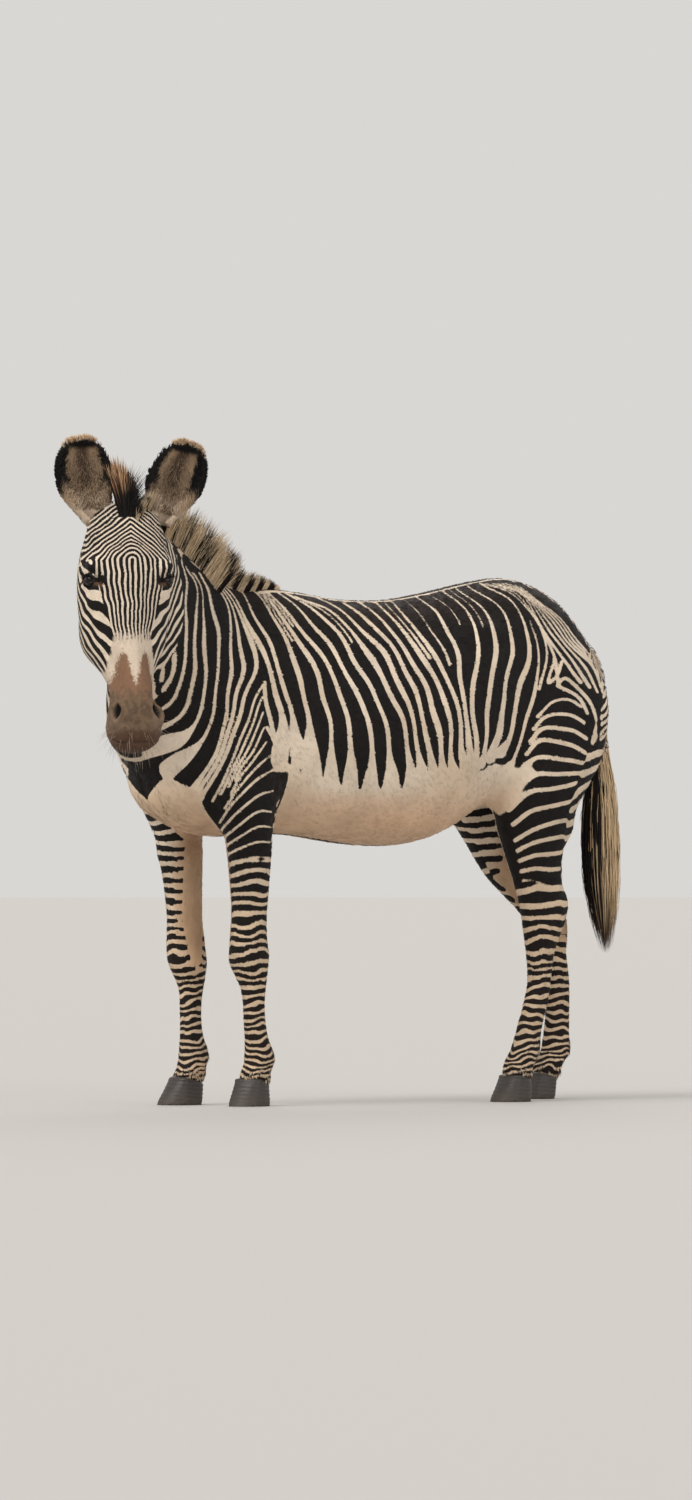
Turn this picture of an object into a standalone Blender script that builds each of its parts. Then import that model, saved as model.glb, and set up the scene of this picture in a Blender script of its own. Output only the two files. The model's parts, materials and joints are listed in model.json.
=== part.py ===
"""A life-size standing Grevy's zebra stallion, as solids: flesh, ears, eyes, mane, tail and hooves.

Frame: +Z up, the floor at Z = 0, the body facing -Y, its left side +X. The head is turned to the left.
Metres. The flesh is lofted from named sections, fused and smoothed as one body, then parted with thin cuts.
"""

import math

import bmesh
import bpy
import numpy as np
from mathutils import Matrix, Vector

# Driving dimensions, in metres.
WITHERS_HEIGHT = 1.49
HEAD_TURN = math.radians(65.5)  # of the head to the body's left
HEAD_TILT = math.radians(12)  # of the nose ahead of the forehead
POLL = Vector((0.280, -1.090, 1.714))
CORONET_HEIGHT = 0.072  # top of a hoof at its heel
EYE_RADIUS = 0.0215
GAP = 0.0004  # between solids that meet

# How finely the flesh is fused and how many triangles it keeps.
VOXEL = 0.009
SMOOTHING = 8
FLESH_SHARE_KEPT = 0.0217

# Trunk sections from the breast to the buttocks:
# (y, top, widest height, bottom, half width, squareness of the upper and of the lower half).
TRUNK = [
    (-0.850, 1.04, 0.98, 0.920, 0.055, 2.0, 2.0),
    (-0.822, 1.12, 0.97, 0.855, 0.120, 2.0, 2.0),
    (-0.74, 1.26, 0.99, 0.800, 0.176, 2.0, 2.1),
    (-0.63, 1.40, 1.01, 0.770, 0.200, 1.8, 2.1),
    (-0.52, 1.470, 1.03, 0.770, 0.212, 1.65, 2.1),
    (-0.42, WITHERS_HEIGHT, 1.04, 0.775, 0.228, 1.6, 2.1),
    (-0.30, 1.478, 1.05, 0.768, 0.252, 1.7, 2.1),
    (-0.16, 1.460, 1.06, 0.750, 0.275, 1.85, 2.1),
    (0.00, 1.460, 1.07, 0.742, 0.288, 1.95, 2.1),
    (0.14, 1.480, 1.09, 0.762, 0.285, 2.0, 2.1),
    (0.28, 1.508, 1.13, 0.825, 0.265, 2.05, 2.1),
    (0.42, 1.530, 1.17, 0.900, 0.242, 2.05, 2.0),
    (0.53, 1.512, 1.18, 0.945, 0.218, 2.0, 2.0),
    (0.62, 1.465, 1.19, 0.985, 0.188, 2.0, 2.0),
    (0.69, 1.390, 1.20, 1.030, 0.145, 2.0, 2.0),
    (0.735, 1.315, 1.20, 1.080, 0.085, 2.0, 2.0),
    (0.755, 1.26, 1.20, 1.140, 0.035, 2.0, 2.0),
]

# Neck sections from inside the withers to inside the skull: (crest, throat, half width).
NECK = [
    ((0.000, -0.42, 1.455), (0.000, -0.66, 0.88), 0.165),
    ((0.004, -0.52, 1.487), (0.012, -0.845, 0.93), 0.162),
    ((0.026, -0.64, 1.530), (0.048, -0.940, 1.02), 0.138),
    ((0.070, -0.755, 1.583), (0.106, -0.985, 1.13), 0.114),
    ((0.125, -0.865, 1.632), (0.163, -1.015, 1.235), 0.102),
    ((0.180, -0.960, 1.665), (0.210, -1.045, 1.325), 0.096),
    ((0.225, -1.030, 1.682), (0.240, -1.080, 1.405), 0.092),
]

# Head sections, hanging down from the poll and facing -Y before the head is turned:
# (height, front, widest, back, half width, squareness of the face and of the jaw side).
HEAD = [
    (0.012, 0.060, 0.095, 0.135, 0.035, 2.0, 2.0),
    (-0.012, 0.024, 0.090, 0.165, 0.076, 2.1, 2.0),
    (-0.050, 0.005, 0.090, 0.210, 0.104, 2.1, 2.0),
    (-0.110, -0.004, 0.100, 0.245, 0.122, 2.0, 2.0),
    (-0.174, -0.009, 0.108, 0.268, 0.131, 1.95, 2.0),
    (-0.228, -0.010, 0.112, 0.285, 0.136, 1.85, 2.0),
    (-0.277, -0.007, 0.124, 0.296, 0.132, 1.7, 2.1),
    (-0.328, -0.003, 0.140, 0.300, 0.125, 1.6, 2.2),
    (-0.380, 0.001, 0.145, 0.290, 0.117, 1.5, 2.2),
    (-0.420, 0.004, 0.138, 0.268, 0.100, 1.5, 2.2),
    (-0.455, 0.007, 0.118, 0.234, 0.082, 1.6, 2.1),
    (-0.490, 0.009, 0.096, 0.202, 0.068, 1.75, 2.0),
    (-0.533, 0.009, 0.080, 0.182, 0.062, 1.95, 2.0),
    (-0.575, 0.007, 0.074, 0.172, 0.067, 2.1, 2.0),
    (-0.618, 0.006, 0.070, 0.166, 0.077, 2.3, 2.0),
    (-0.652, 0.011, 0.072, 0.160, 0.076, 2.3, 2.0),
    (-0.683, 0.024, 0.077, 0.150, 0.064, 2.2, 2.0),
    (-0.701, 0.048, 0.084, 0.126, 0.040, 2.0, 2.0),
]

# Bulges of muscle and bone on the head, before it is turned: (place, radii). Each is on both sides.
HEAD_BULGES = [
    ((0.098, 0.056, -0.188), (0.030, 0.050, 0.028)),  # brow over the eye
    ((0.092, 0.120, -0.272), (0.030, 0.085, 0.026)),  # facial crest
    ((0.078, 0.190, -0.315), (0.042, 0.096, 0.105)),  # cheek muscle
    ((0.055, 0.034, -0.622), (0.026, 0.030, 0.036)),  # nostril wing
    ((0.016, 0.140, -0.668), (0.028, 0.026, 0.028)),  # chin
]
EYE = Vector((0.1045, 0.060, -0.217))  # centre of the left eyeball, before the head is turned

# Foreleg outline from the shoulder down: (height, front, back, middle across, half width).
FORELEG = [
    (1.30, -0.60, -0.36, 0.085, 0.060),
    (1.20, -0.685, -0.370, 0.102, 0.082),
    (1.10, -0.755, -0.400, 0.122, 0.093),
    (1.00, -0.775, -0.435, 0.135, 0.099),
    (0.92, -0.745, -0.465, 0.145, 0.094),
    (0.85, -0.692, -0.492, 0.150, 0.085),
    (0.78, -0.655, -0.505, 0.149, 0.072),
    (0.70, -0.637, -0.508, 0.146, 0.062),
    (0.60, -0.625, -0.512, 0.140, 0.054),
    (0.52, -0.622, -0.512, 0.136, 0.050),
    (0.46, -0.625, -0.508, 0.133, 0.051),
    (0.41, -0.622, -0.504, 0.130, 0.052),
    (0.37, -0.603, -0.503, 0.129, 0.043),
    (0.33, -0.585, -0.507, 0.128, 0.034),
    (0.25, -0.578, -0.506, 0.127, 0.030),
    (0.18, -0.574, -0.490, 0.126, 0.033),
    (0.135, -0.571, -0.475, 0.125, 0.039),
    (0.10, -0.577, -0.487, 0.125, 0.037),
    (0.05, -0.592, -0.500, 0.125, 0.041),
]

# Hind leg outline from the hip down, in the same terms.
HINDLEG = [
    (1.40, 0.40, 0.58, 0.085, 0.070),
    (1.31, 0.31, 0.67, 0.105, 0.105),
    (1.20, 0.265, 0.725, 0.125, 0.120),
    (1.10, 0.255, 0.725, 0.138, 0.122),
    (1.00, 0.263, 0.690, 0.148, 0.115),
    (0.92, 0.280, 0.638, 0.153, 0.103),
    (0.84, 0.306, 0.588, 0.154, 0.086),
    (0.76, 0.338, 0.560, 0.150, 0.068),
    (0.68, 0.368, 0.553, 0.146, 0.056),
    (0.62, 0.392, 0.560, 0.143, 0.049),
    (0.575, 0.408, 0.578, 0.141, 0.044),
    (0.53, 0.420, 0.572, 0.139, 0.045),
    (0.48, 0.430, 0.552, 0.137, 0.043),
    (0.42, 0.440, 0.532, 0.135, 0.036),
    (0.34, 0.443, 0.524, 0.133, 0.032),
    (0.25, 0.420, 0.503, 0.131, 0.031),
    (0.18, 0.397, 0.487, 0.130, 0.034),
    (0.135, 0.382, 0.478, 0.130, 0.039),
    (0.10, 0.368, 0.458, 0.130, 0.037),
    (0.05, 0.350, 0.440, 0.130, 0.041),
]

# Bulges of muscle and bone under the skin of the trunk and legs: (leg or None, place, radii). A leg's follow
# its stance, and the trunk's are on both sides.
BODY_BULGES = [
    (None, (0.125, -0.765, 1.00), (0.060, 0.060, 0.080)),  # point of the shoulder
    (None, (0.070, -0.770, 0.92), (0.066, 0.050, 0.080)),  # breast muscle
    (None, (0.168, 0.240, 1.340), (0.060, 0.095, 0.068)),  # hip bone
    (None, (0.200, 0.500, 1.17), (0.052, 0.130, 0.130)),  # hip joint
    (None, (0.075, 0.665, 1.26), (0.065, 0.060, 0.090)),  # seat bone
    ("fore", (0.160, -0.545, 0.875), (0.050, 0.055, 0.085)),  # elbow
    ("fore", (0.156, -0.598, 0.760), (0.052, 0.048, 0.110)),  # forearm muscle
    ("fore", (0.135, -0.520, 0.435), (0.028, 0.022, 0.026)),  # back of the knee
    ("fore", (0.125, -0.500, 0.140), (0.030, 0.026, 0.026)),  # back of the fetlock
    ("hind", (0.165, 0.340, 0.905), (0.055, 0.050, 0.080)),  # stifle
    ("hind", (0.156, 0.525, 0.850), (0.050, 0.070, 0.120)),  # gaskin
    ("hind", (0.139, 0.560, 0.572), (0.024, 0.024, 0.050)),  # point of the hock
    ("hind", (0.130, 0.455, 0.142), (0.030, 0.028, 0.027)),  # back of the fetlock
]

# How far back each leg stands at a few heights, beside the outline above: (height, distance).
STANCE = {
    "foreleg_left": [(1.3, 0.0), (0.0, 0.0)],
    "foreleg_right": [(1.3, 0.0), (0.85, -0.03), (0.41, -0.028), (0.135, -0.050), (0.0, -0.062)],
    "hindleg_left": [(1.4, 0.0), (0.0, 0.0)],
    "hindleg_right": [
        (1.4, 0.0),
        (1.1, 0.015),
        (0.84, 0.070),
        (0.65, 0.132),
        (0.53, 0.222),
        (0.40, 0.265),
        (0.135, 0.318),
        (0.0, 0.292),
    ],
}
TOES_OUT = {
    "foreleg_left": math.radians(24),
    "foreleg_right": math.radians(-2),
    "hindleg_left": math.radians(8),
    "hindleg_right": math.radians(-12),
}
HOOF_LENGTH = {"fore": 0.130, "hind": 0.120}
HOOF_WIDTH = 0.106
HOOF_SLOPE = math.radians(54)  # of its front wall above the floor

# Ears, before the head is turned.
EAR_LENGTH = 0.232
EAR_HALF_WIDTH = 0.076
EAR_THICKNESS = 0.010
EAR_CUP = 0.5  # depth of the cup beside its half width
EAR_ROOT = {"ear_left": Vector((0.108, 0.085, -0.040)), "ear_right": Vector((-0.082, 0.080, -0.040))}
EAR_LEAN = {"ear_left": math.radians(21), "ear_right": math.radians(-12)}  # outward from upright
EAR_SWIVEL = {"ear_left": math.radians(12), "ear_right": math.radians(-2)}  # of its opening to the left

# Where the flesh is parted. The head is all that lies ahead of a level behind the poll or within reach of its
# middle, in its own frame. The legs are all that lies under a height.
HEAD_BEHIND = 0.205
HEAD_MIDDLE = Vector((0, 0.05, -0.27))
HEAD_REACH = 0.27
FORELEG_TOP = 0.742
HINDLEG_TOP = 0.868

# Mane: (share of the way from the withers to the poll, height over the crest, half thickness).
MANE = [
    (0.02, 0.020, 0.008),
    (0.14, 0.075, 0.013),
    (0.32, 0.118, 0.016),
    (0.55, 0.140, 0.018),
    (0.80, 0.145, 0.019),
    (0.97, 0.135, 0.018),
]

# Forelock, before the head is turned: (height, front, back, half width).
FORELOCK = [
    (-0.040, -0.002, 0.040, 0.022),
    (0.000, -0.012, 0.058, 0.036),
    (0.050, -0.016, 0.066, 0.044),
    (0.100, -0.018, 0.066, 0.040),
    (0.138, -0.008, 0.045, 0.018),
]

# Tail: fleshy dock, then the switch of long hair: (centre, radius).
DOCK = [
    ((0, 0.690, 1.335), 0.036),
    ((0, 0.757, 1.300), 0.034),
    ((0, 0.792, 1.230), 0.031),
    ((0, 0.804, 1.140), 0.027),
    ((0, 0.806, 1.010), 0.024),
]
SWITCH = [
    ((0, 0.806, 1.0096), 0.028),
    ((0, 0.808, 0.950), 0.040),
    ((0, 0.812, 0.850), 0.054),
    ((0, 0.814, 0.740), 0.059),
    ((0, 0.815, 0.620), 0.052),
    ((0, 0.824, 0.500), 0.030),
    ((0, 0.836, 0.425), 0.006),
]

COLOURS = {
    "coat": ((0.72, 0.60, 0.48), 0.75),
    "hair": ((0.12, 0.08, 0.05), 0.8),
    "horn": ((0.05, 0.045, 0.045), 0.5),
    "eye": ((0.02, 0.017, 0.016), 0.1),
}


def clear_scene():
    for old in list(bpy.data.objects):
        bpy.data.objects.remove(old)


def new_collection(name, in_render=True):
    made = bpy.data.collections.new(name)
    made.hide_render = not in_render
    bpy.context.scene.collection.children.link(made)
    return made


def material(name):
    """The plain finish of one kind of surface."""
    found = bpy.data.materials.get(name)
    if found:
        return found
    colour, roughness = COLOURS[name]
    made = bpy.data.materials.new(name)
    made.use_nodes = True
    shader = made.node_tree.nodes["Principled BSDF"]
    shader.inputs["Base Color"].default_value = (*colour, 1)
    shader.inputs["Roughness"].default_value = roughness
    return made


def through(stations, steps):
    """Rows of numbers along a smooth Catmull-Rom curve through the stations, steps to each span."""
    rows = np.array(stations, float)
    before = 2 * rows[0] - rows[1]
    after = 2 * rows[-1] - rows[-2]
    padded = np.vstack([before, rows, after])
    found = []
    for i in range(1, len(padded) - 2):
        a, b, c, d = padded[i - 1 : i + 3]
        for t in np.arange(steps) / steps:
            bend = 2 * a - 5 * b + 4 * c - d
            twist = 3 * b - a - 3 * c + d
            found.append(b + 0.5 * t * ((c - a) + t * (bend + t * twist)))
    return np.array([*found, rows[-1]])


def ring(centre, side, up, reach, squareness=(2.0, 2.0), count=40):
    """A closed section: two half super-ellipses that meet at their widest.

    reach is (above, across, below) the centre, and squareness is of the upper and of the lower half.
    """
    centre, side, up = np.array(centre), np.array(side), np.array(up)
    square_above, square_below = squareness
    above, across, below = reach
    points = []
    for angle in np.arange(count) * 2 * math.pi / count:
        c, s = math.cos(angle), math.sin(angle)
        power = 2 / (square_above if s > 0 else square_below)
        wide = across * math.copysign(abs(c) ** power, c)
        high = (above if s > 0 else below) * math.copysign(abs(s) ** power, s)
        points.append(centre + side * wide + up * high)
    return points


def loft(name, rings):
    """A closed mesh object through the rings, flat at both ends."""
    shape = bmesh.new()
    rows = [[shape.verts.new(p) for p in points] for points in rings]
    for low, high in zip(rows, rows[1:]):
        for i in range(len(low)):
            j = (i + 1) % len(low)
            shape.faces.new((low[i], low[j], high[j], high[i]))
    shape.faces.new(rows[0][::-1])
    shape.faces.new(rows[-1])
    bmesh.ops.recalc_face_normals(shape, faces=shape.faces)
    mesh = bpy.data.meshes.new(name)
    shape.to_mesh(mesh)
    shape.free()
    made = bpy.data.objects.new(name, mesh)
    workshop.objects.link(made)
    return made


def unit(v):
    v = np.array(v, float)
    return v / np.linalg.norm(v)


def trunk():
    rings = []
    for y, top, middle, bottom, wide, *squareness in through(TRUNK, 3):
        reach = (top - middle, wide, middle - bottom)
        rings.append(ring((0, y, middle), (1, 0, 0), (0, 0, 1), reach, squareness))
    return loft("trunk_shape", rings)


def neck():
    rows = through([(*crest, *throat, wide) for crest, throat, wide in NECK], 4)
    rings = []
    for row in rows:
        crest, throat, wide = row[:3], row[3:6], row[6]
        up = unit(crest - throat)
        # The side direction is level and square to the way the neck runs.
        ahead = unit(np.array(NECK[-1][0]) - np.array(NECK[1][0]))
        side = unit(np.cross(up, ahead))
        middle = throat + 0.44 * (crest - throat)
        above, below = np.linalg.norm(crest - middle), np.linalg.norm(middle - throat)
        rings.append(ring(middle, side, up, (above, wide, below), (1.7, 2.1)))
    return loft("neck_shape", rings)


def turn_head():
    """Carries a shape from the plain head frame to its place on the neck."""
    return Matrix.Translation(POLL) @ Matrix.Rotation(HEAD_TURN, 4, "Z") @ Matrix.Rotation(-HEAD_TILT, 4, "X")


def moved(made, matrix):
    made.data.transform(matrix)
    return made


def ellipsoid(name, centre, radii):
    bpy.ops.mesh.primitive_uv_sphere_add(segments=20, ring_count=12, radius=1)
    made = bpy.context.object
    made.name = name
    made.data.transform(Matrix.Translation(centre) @ Matrix.Diagonal((*radii, 1)))
    return made


def skull():
    """The head in its own frame: a loft and its bulges."""
    rings = []
    for height, front, middle, back, wide, *squareness in through(HEAD, 3):
        reach = (middle - front, wide, back - middle)
        rings.append(ring((0, middle, height), (1, 0, 0), (0, -1, 0), reach, squareness))
    shapes = [loft("head_shape", rings)]
    for centre, radii in HEAD_BULGES:
        for hand in (1, -1):
            shapes.append(ellipsoid("bulge", (hand * centre[0], *centre[1:]), radii))
    return [moved(shape, turn_head()) for shape in shapes]


def stance(leg, height):
    heights, backs = zip(*sorted(STANCE[leg]))
    return float(np.interp(height, heights, backs))


def limb(leg, outline):
    """A leg from its outline, on its own side and in its own stance."""
    hand = 1 if leg.endswith("left") else -1
    rings = []
    for height, front, back, across, wide in through(outline, 3):
        shift = stance(leg, height)
        middle = front + 0.47 * (back - front)
        centre = (hand * across, middle + shift, height)
        rings.append(ring(centre, (1, 0, 0), (0, -1, 0), (middle - front, wide, back - middle), (2.1, 2.1)))
    return loft(leg + "_shape", rings)


def body_bulges():
    made = []
    for kind, spot, radii in BODY_BULGES:
        for hand, side in ((1, "left"), (-1, "right")):
            shift = stance(kind + "leg_" + side, spot[2]) if kind else 0.0
            made.append(ellipsoid("bulge", (hand * spot[0], spot[1] + shift, spot[2]), radii))
    return made


def joined(name, shapes):
    """One mesh object holding all the shapes, which are removed."""
    union = bmesh.new()
    for shape in shapes:
        union.from_mesh(shape.data)
        bpy.data.objects.remove(shape)
    mesh = bpy.data.meshes.new(name)
    union.to_mesh(mesh)
    union.free()
    made = bpy.data.objects.new(name, mesh)
    workshop.objects.link(made)
    return made


def applied(made):
    """Makes the object's modifiers part of its mesh."""
    bpy.context.view_layer.update()
    graph = bpy.context.evaluated_depsgraph_get()
    mesh = bpy.data.meshes.new_from_object(made.evaluated_get(graph))
    made.modifiers.clear()
    made.data = mesh
    return made


def fused(made):
    """Melts overlapping shapes into one smooth closed body, then thins its triangles."""
    remesh = made.modifiers.new("fuse", "REMESH")
    remesh.mode = "VOXEL"
    remesh.voxel_size = VOXEL
    smooth = made.modifiers.new("blend", "SMOOTH")
    smooth.factor = 0.5
    smooth.iterations = SMOOTHING
    applied(made)
    thin = made.modifiers.new("thin", "DECIMATE")
    thin.ratio = FLESH_SHARE_KEPT
    thin.use_collapse_triangulate = True
    return applied(made)


def boolean(made, cutter, operation="DIFFERENCE"):
    cut = made.modifiers.new("cut", "BOOLEAN")
    cut.operation = operation
    cut.object = cutter
    applied(made)
    return made


def remove(made):
    bpy.data.objects.remove(made)


def box(size, matrix):
    bpy.ops.mesh.primitive_cube_add(size=1)
    made = bpy.context.object
    made.data.transform(matrix @ Matrix.Diagonal((*size, 1)))
    return made


def grown(made, by):
    """A copy of a solid, swollen along its normals."""
    copy = made.copy()
    copy.data = made.data.copy()
    workshop.objects.link(copy)
    normals = [v.normal.copy() for v in copy.data.vertices]
    for vertex, normal in zip(copy.data.vertices, normals):
        vertex.co += normal * by
    return copy


def finished(made, name, finish):
    """Names a solid, gives it its material and puts it with the parts."""
    for holder in list(made.users_collection):
        holder.objects.unlink(made)
    parts.objects.link(made)
    made.name = made.data.name = name
    made.data.materials.clear()
    made.data.materials.append(material(finish))
    made.data.shade_smooth()
    made.data.set_sharp_from_angle(angle=math.radians(50))
    return made


def hoof_frame(leg):
    """Where a hoof's sole is centred on the floor, turned the way its toe points."""
    outline = FORELEG if leg.startswith("fore") else HINDLEG
    hand = 1 if leg.endswith("left") else -1
    height, front, back, across, wide = outline[-1]
    y = (front + back) / 2 + stance(leg, 0) - 0.012
    return Matrix.Translation((hand * across, y, 0)) @ Matrix.Rotation(TOES_OUT[leg], 4, "Z")


def coronet_frame(leg):
    """The sloping plane where a hoof's horn ends and the skin begins, higher at the toe."""
    lean = Matrix.Rotation(math.radians(-14), 4, "X")
    return hoof_frame(leg) @ Matrix.Translation((0, 0.02, CORONET_HEIGHT)) @ lean


def hoof(leg):
    """A horn block with a sloping wall, round at the toe and flatter at the heel."""
    rings = []
    for height in np.linspace(0, 1.6 * CORONET_HEIGHT, 4):
        lean = height / math.tan(HOOF_SLOPE)
        length = HOOF_LENGTH[leg[:4]]
        reach = (length * 0.56 - lean * 0.92, HOOF_WIDTH / 2 - height * 0.16, length * 0.44 + lean * 0.22)
        rings.append(ring((0, 0, height), (1, 0, 0), (0, -1, 0), reach, (2.2, 2.9), 24))
    made = moved(loft(leg.replace("leg", "_hoof"), rings), hoof_frame(leg))
    lid_depth = 0.2
    lid = box((0.4, 0.4, lid_depth), coronet_frame(leg) @ Matrix.Translation((0, 0, lid_depth / 2 - GAP)))
    boolean(made, lid)
    remove(lid)
    return made


def cut_hooves_off(flesh):
    for leg in STANCE:
        depth = 0.12
        foot = box((0.3, 0.3, depth), coronet_frame(leg) @ Matrix.Translation((0, 0, -depth / 2)))
        boolean(flesh, foot)
        remove(foot)


def thin_cut(flesh, middle, across, along, size):
    """A slot of the width of GAP through the flesh. across and along span its plane."""
    across, along = Vector(across).normalized(), Vector(along).normalized()
    normal = across.cross(along).normalized()
    along = normal.cross(across)
    turn = Matrix((across, along, normal)).transposed().to_4x4()
    slot = box((*size, GAP), Matrix.Translation(middle) @ turn)
    boolean(flesh, slot)
    remove(slot)


def head_room(margin):
    """The space that the head takes, larger by the margin."""
    bpy.ops.mesh.primitive_uv_sphere_add(segments=48, ring_count=32, radius=HEAD_REACH + margin)
    room = moved(bpy.context.object, Matrix.Translation(HEAD_MIDDLE))
    ahead = box((1, 0.6, 1.4), Matrix.Translation((0, HEAD_BEHIND + margin - 0.3, -0.3)))
    boolean(room, ahead, "UNION")
    remove(ahead)
    return moved(room, turn_head())


def part_head(flesh):
    """Takes the head off the flesh and returns it."""
    head = flesh.copy()
    head.data = flesh.data.copy()
    workshop.objects.link(head)
    for made, margin, operation in ((head, 0.0, "INTERSECT"), (flesh, GAP, "DIFFERENCE")):
        room = head_room(margin)
        boolean(made, room, operation)
        remove(room)
    return head


def part_flesh(flesh):
    """Parts the rest of the body where a person would name its pieces."""
    neck_way = Vector(NECK[3][0]) - Vector(NECK[1][0])
    root_up = Vector(NECK[2][0]) - Vector(NECK[2][1])
    thin_cut(flesh, (0, -0.765, 1.235), neck_way.cross(root_up), root_up, (0.60, 0.86))
    thin_cut(flesh, (0, -0.55, FORELEG_TOP), (1, 0, 0), (0, 1, 0), (0.6, 0.5))
    thin_cut(flesh, (0, 0.50, HINDLEG_TOP), (1, 0, 0), (0, 1, 0.42), (0.7, 0.66))


SEEDS = {
    "neck": (0.12, -0.93, 1.40),
    "trunk": (0.0, 0.0, 1.1),
    "foreleg_left": (0.13, -0.56, 0.4),
    "foreleg_right": (-0.13, -0.59, 0.4),
    "hindleg_left": (0.14, 0.50, 0.5),
    "hindleg_right": (-0.14, 0.70, 0.5),
}


def separated(flesh):
    """The loose pieces of the cut flesh, each named for the seed point nearest its middle.

    A crumb that the cuts leave beside a larger piece of the same name is dropped.
    """
    bpy.context.view_layer.objects.active = flesh
    bpy.ops.object.select_all(action="DESELECT")
    flesh.select_set(True)
    bpy.ops.mesh.separate(type="LOOSE")
    found = {}
    for piece in sorted(bpy.context.selected_objects, key=lambda o: -len(o.data.vertices)):
        corners = np.array([v.co for v in piece.data.vertices])
        middle = (corners.min(0) + corners.max(0)) / 2
        name = min(SEEDS, key=lambda n: np.linalg.norm(np.array(SEEDS[n]) - middle))
        if name in found:
            remove(piece)
        else:
            found[name] = piece
    return found


def eyes(flesh):
    """Sinks a socket for each eye and returns the eyeballs."""
    made = {}
    for hand, name in ((1, "eye_left"), (-1, "eye_right")):
        centre = turn_head() @ Vector((hand * EYE.x, EYE.y, EYE.z))
        bpy.ops.mesh.primitive_uv_sphere_add(segments=14, ring_count=8, radius=EYE_RADIUS + GAP, location=centre)
        socket = bpy.context.object
        boolean(flesh, socket)
        remove(socket)
        bpy.ops.mesh.primitive_uv_sphere_add(segments=14, ring_count=8, radius=EYE_RADIUS, location=centre)
        made[name] = bpy.context.object
    return made


def ear(name):
    """A cupped leaf of skin and gristle, open to the front, thickened from one curved sheet."""
    rows, columns = 13, 9
    shape = bmesh.new()
    grid = []
    for v in np.linspace(0, 1, rows):
        wide = EAR_HALF_WIDTH * ear_breadth(v)
        wrap = math.radians(165 - 85 * v**0.6)  # the base is nearly a tube, the tip is open
        radius = wide / math.sin(min(wrap, math.pi / 2))
        line = []
        for across in np.linspace(-1, 1, columns):
            x = radius * math.sin(across * wrap)
            y = radius * (math.cos(across * wrap) - math.cos(wrap)) * EAR_CUP
            line.append(shape.verts.new((x, y - 0.035 * v**3, EAR_LENGTH * v)))
        grid.append(line)
    for low, high in zip(grid, grid[1:]):
        for j in range(columns - 1):
            shape.faces.new((low[j], low[j + 1], high[j + 1], high[j]))
    mesh = bpy.data.meshes.new("ear")
    shape.to_mesh(mesh)
    shape.free()
    made = bpy.data.objects.new("ear", mesh)
    workshop.objects.link(made)
    shell = made.modifiers.new("thickness", "SOLIDIFY")
    shell.thickness = EAR_THICKNESS
    shell.offset = 0
    applied(made)
    set_on = Matrix.Translation(EAR_ROOT[name]) @ Matrix.Rotation(EAR_LEAN[name], 4, "Y")
    return moved(made, turn_head() @ set_on @ Matrix.Rotation(EAR_SWIVEL[name], 4, "Z"))


def ear_breadth(v):
    """Share of the ear's full breadth at v of its length: a stalk, a broad blade and a round tip."""
    stalk = 0.36 + 0.64 * math.sin(math.pi / 2 * min(1.0, v / 0.55)) ** 1.3
    tip = math.sqrt(max(0.0, 1 - max(0.0, (v - 0.55) / 0.455) ** 2.3))
    return max(0.12, stalk * tip)


def crest_line():
    """Points along the top of the neck and the way up from each, from the withers to the poll."""
    rows = through([(*crest, *throat) for crest, throat, wide in NECK], 12)
    return rows[:, :3], np.array([unit(row[:3] - row[3:]) for row in rows])


def mane():
    points, ups = crest_line()
    last = len(points) - 1
    rings = []
    for share, high, thick in through(MANE, 3):
        at = share * last
        low = int(min(at, last - 1))
        t = at - low
        base = points[low] * (1 - t) + points[low + 1] * t
        up = unit(ups[low] * (1 - t) + ups[low + 1] * t)
        way = unit(points[min(low + 2, last)] - points[max(low - 1, 0)])
        up = unit(up - way * (up @ way))
        side = unit(np.cross(up, way))
        rings.append(ring(base, side, up, (high, thick, 0.03), (2.6, 2.0), 16))
    return loft("mane", rings)


def forelock():
    """The front of the mane, standing up between the ears."""
    rings = []
    for height, front, back, wide in through(FORELOCK, 2):
        reach = ((back - front) / 2, wide, (back - front) / 2)
        rings.append(ring((0, (front + back) / 2, height), (1, 0, 0), (0, -1, 0), reach, count=16))
    return moved(loft("forelock", rings), turn_head())


def tube(name, stations):
    rings = []
    rows = through([(*centre, radius) for centre, radius in stations], 2)
    for i, row in enumerate(rows):
        way = unit(rows[min(i + 1, len(rows) - 1)][:3] - rows[max(i - 1, 0)][:3])
        if i in (0, len(rows) - 1):
            way = np.array((0, 0, -1.0)) if row[2] < 1.2 else way
        side = np.array((1.0, 0, 0))
        up = unit(np.cross(side, way))
        rings.append(ring(row[:3], side, up, (row[3],) * 3, count=16))
    return loft(name, rings)


def keep_largest(made):
    """Drops the crumbs that a cut leaves beside the main body of a fitting."""
    shape = bmesh.new()
    shape.from_mesh(made.data)
    waiting = set(shape.verts)
    bodies = []
    while waiting:
        body, edge_of_body = set(), [waiting.pop()]
        while edge_of_body:
            vertex = edge_of_body.pop()
            body.add(vertex)
            beside = {edge.other_vert(vertex) for edge in vertex.link_edges} & waiting
            waiting -= beside
            edge_of_body.extend(beside)
        bodies.append(body)
    bodies.sort(key=len)
    for body in bodies[:-1]:
        bmesh.ops.delete(shape, geom=list(body), context="VERTS")
    shape.to_mesh(made.data)
    shape.free()


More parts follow.
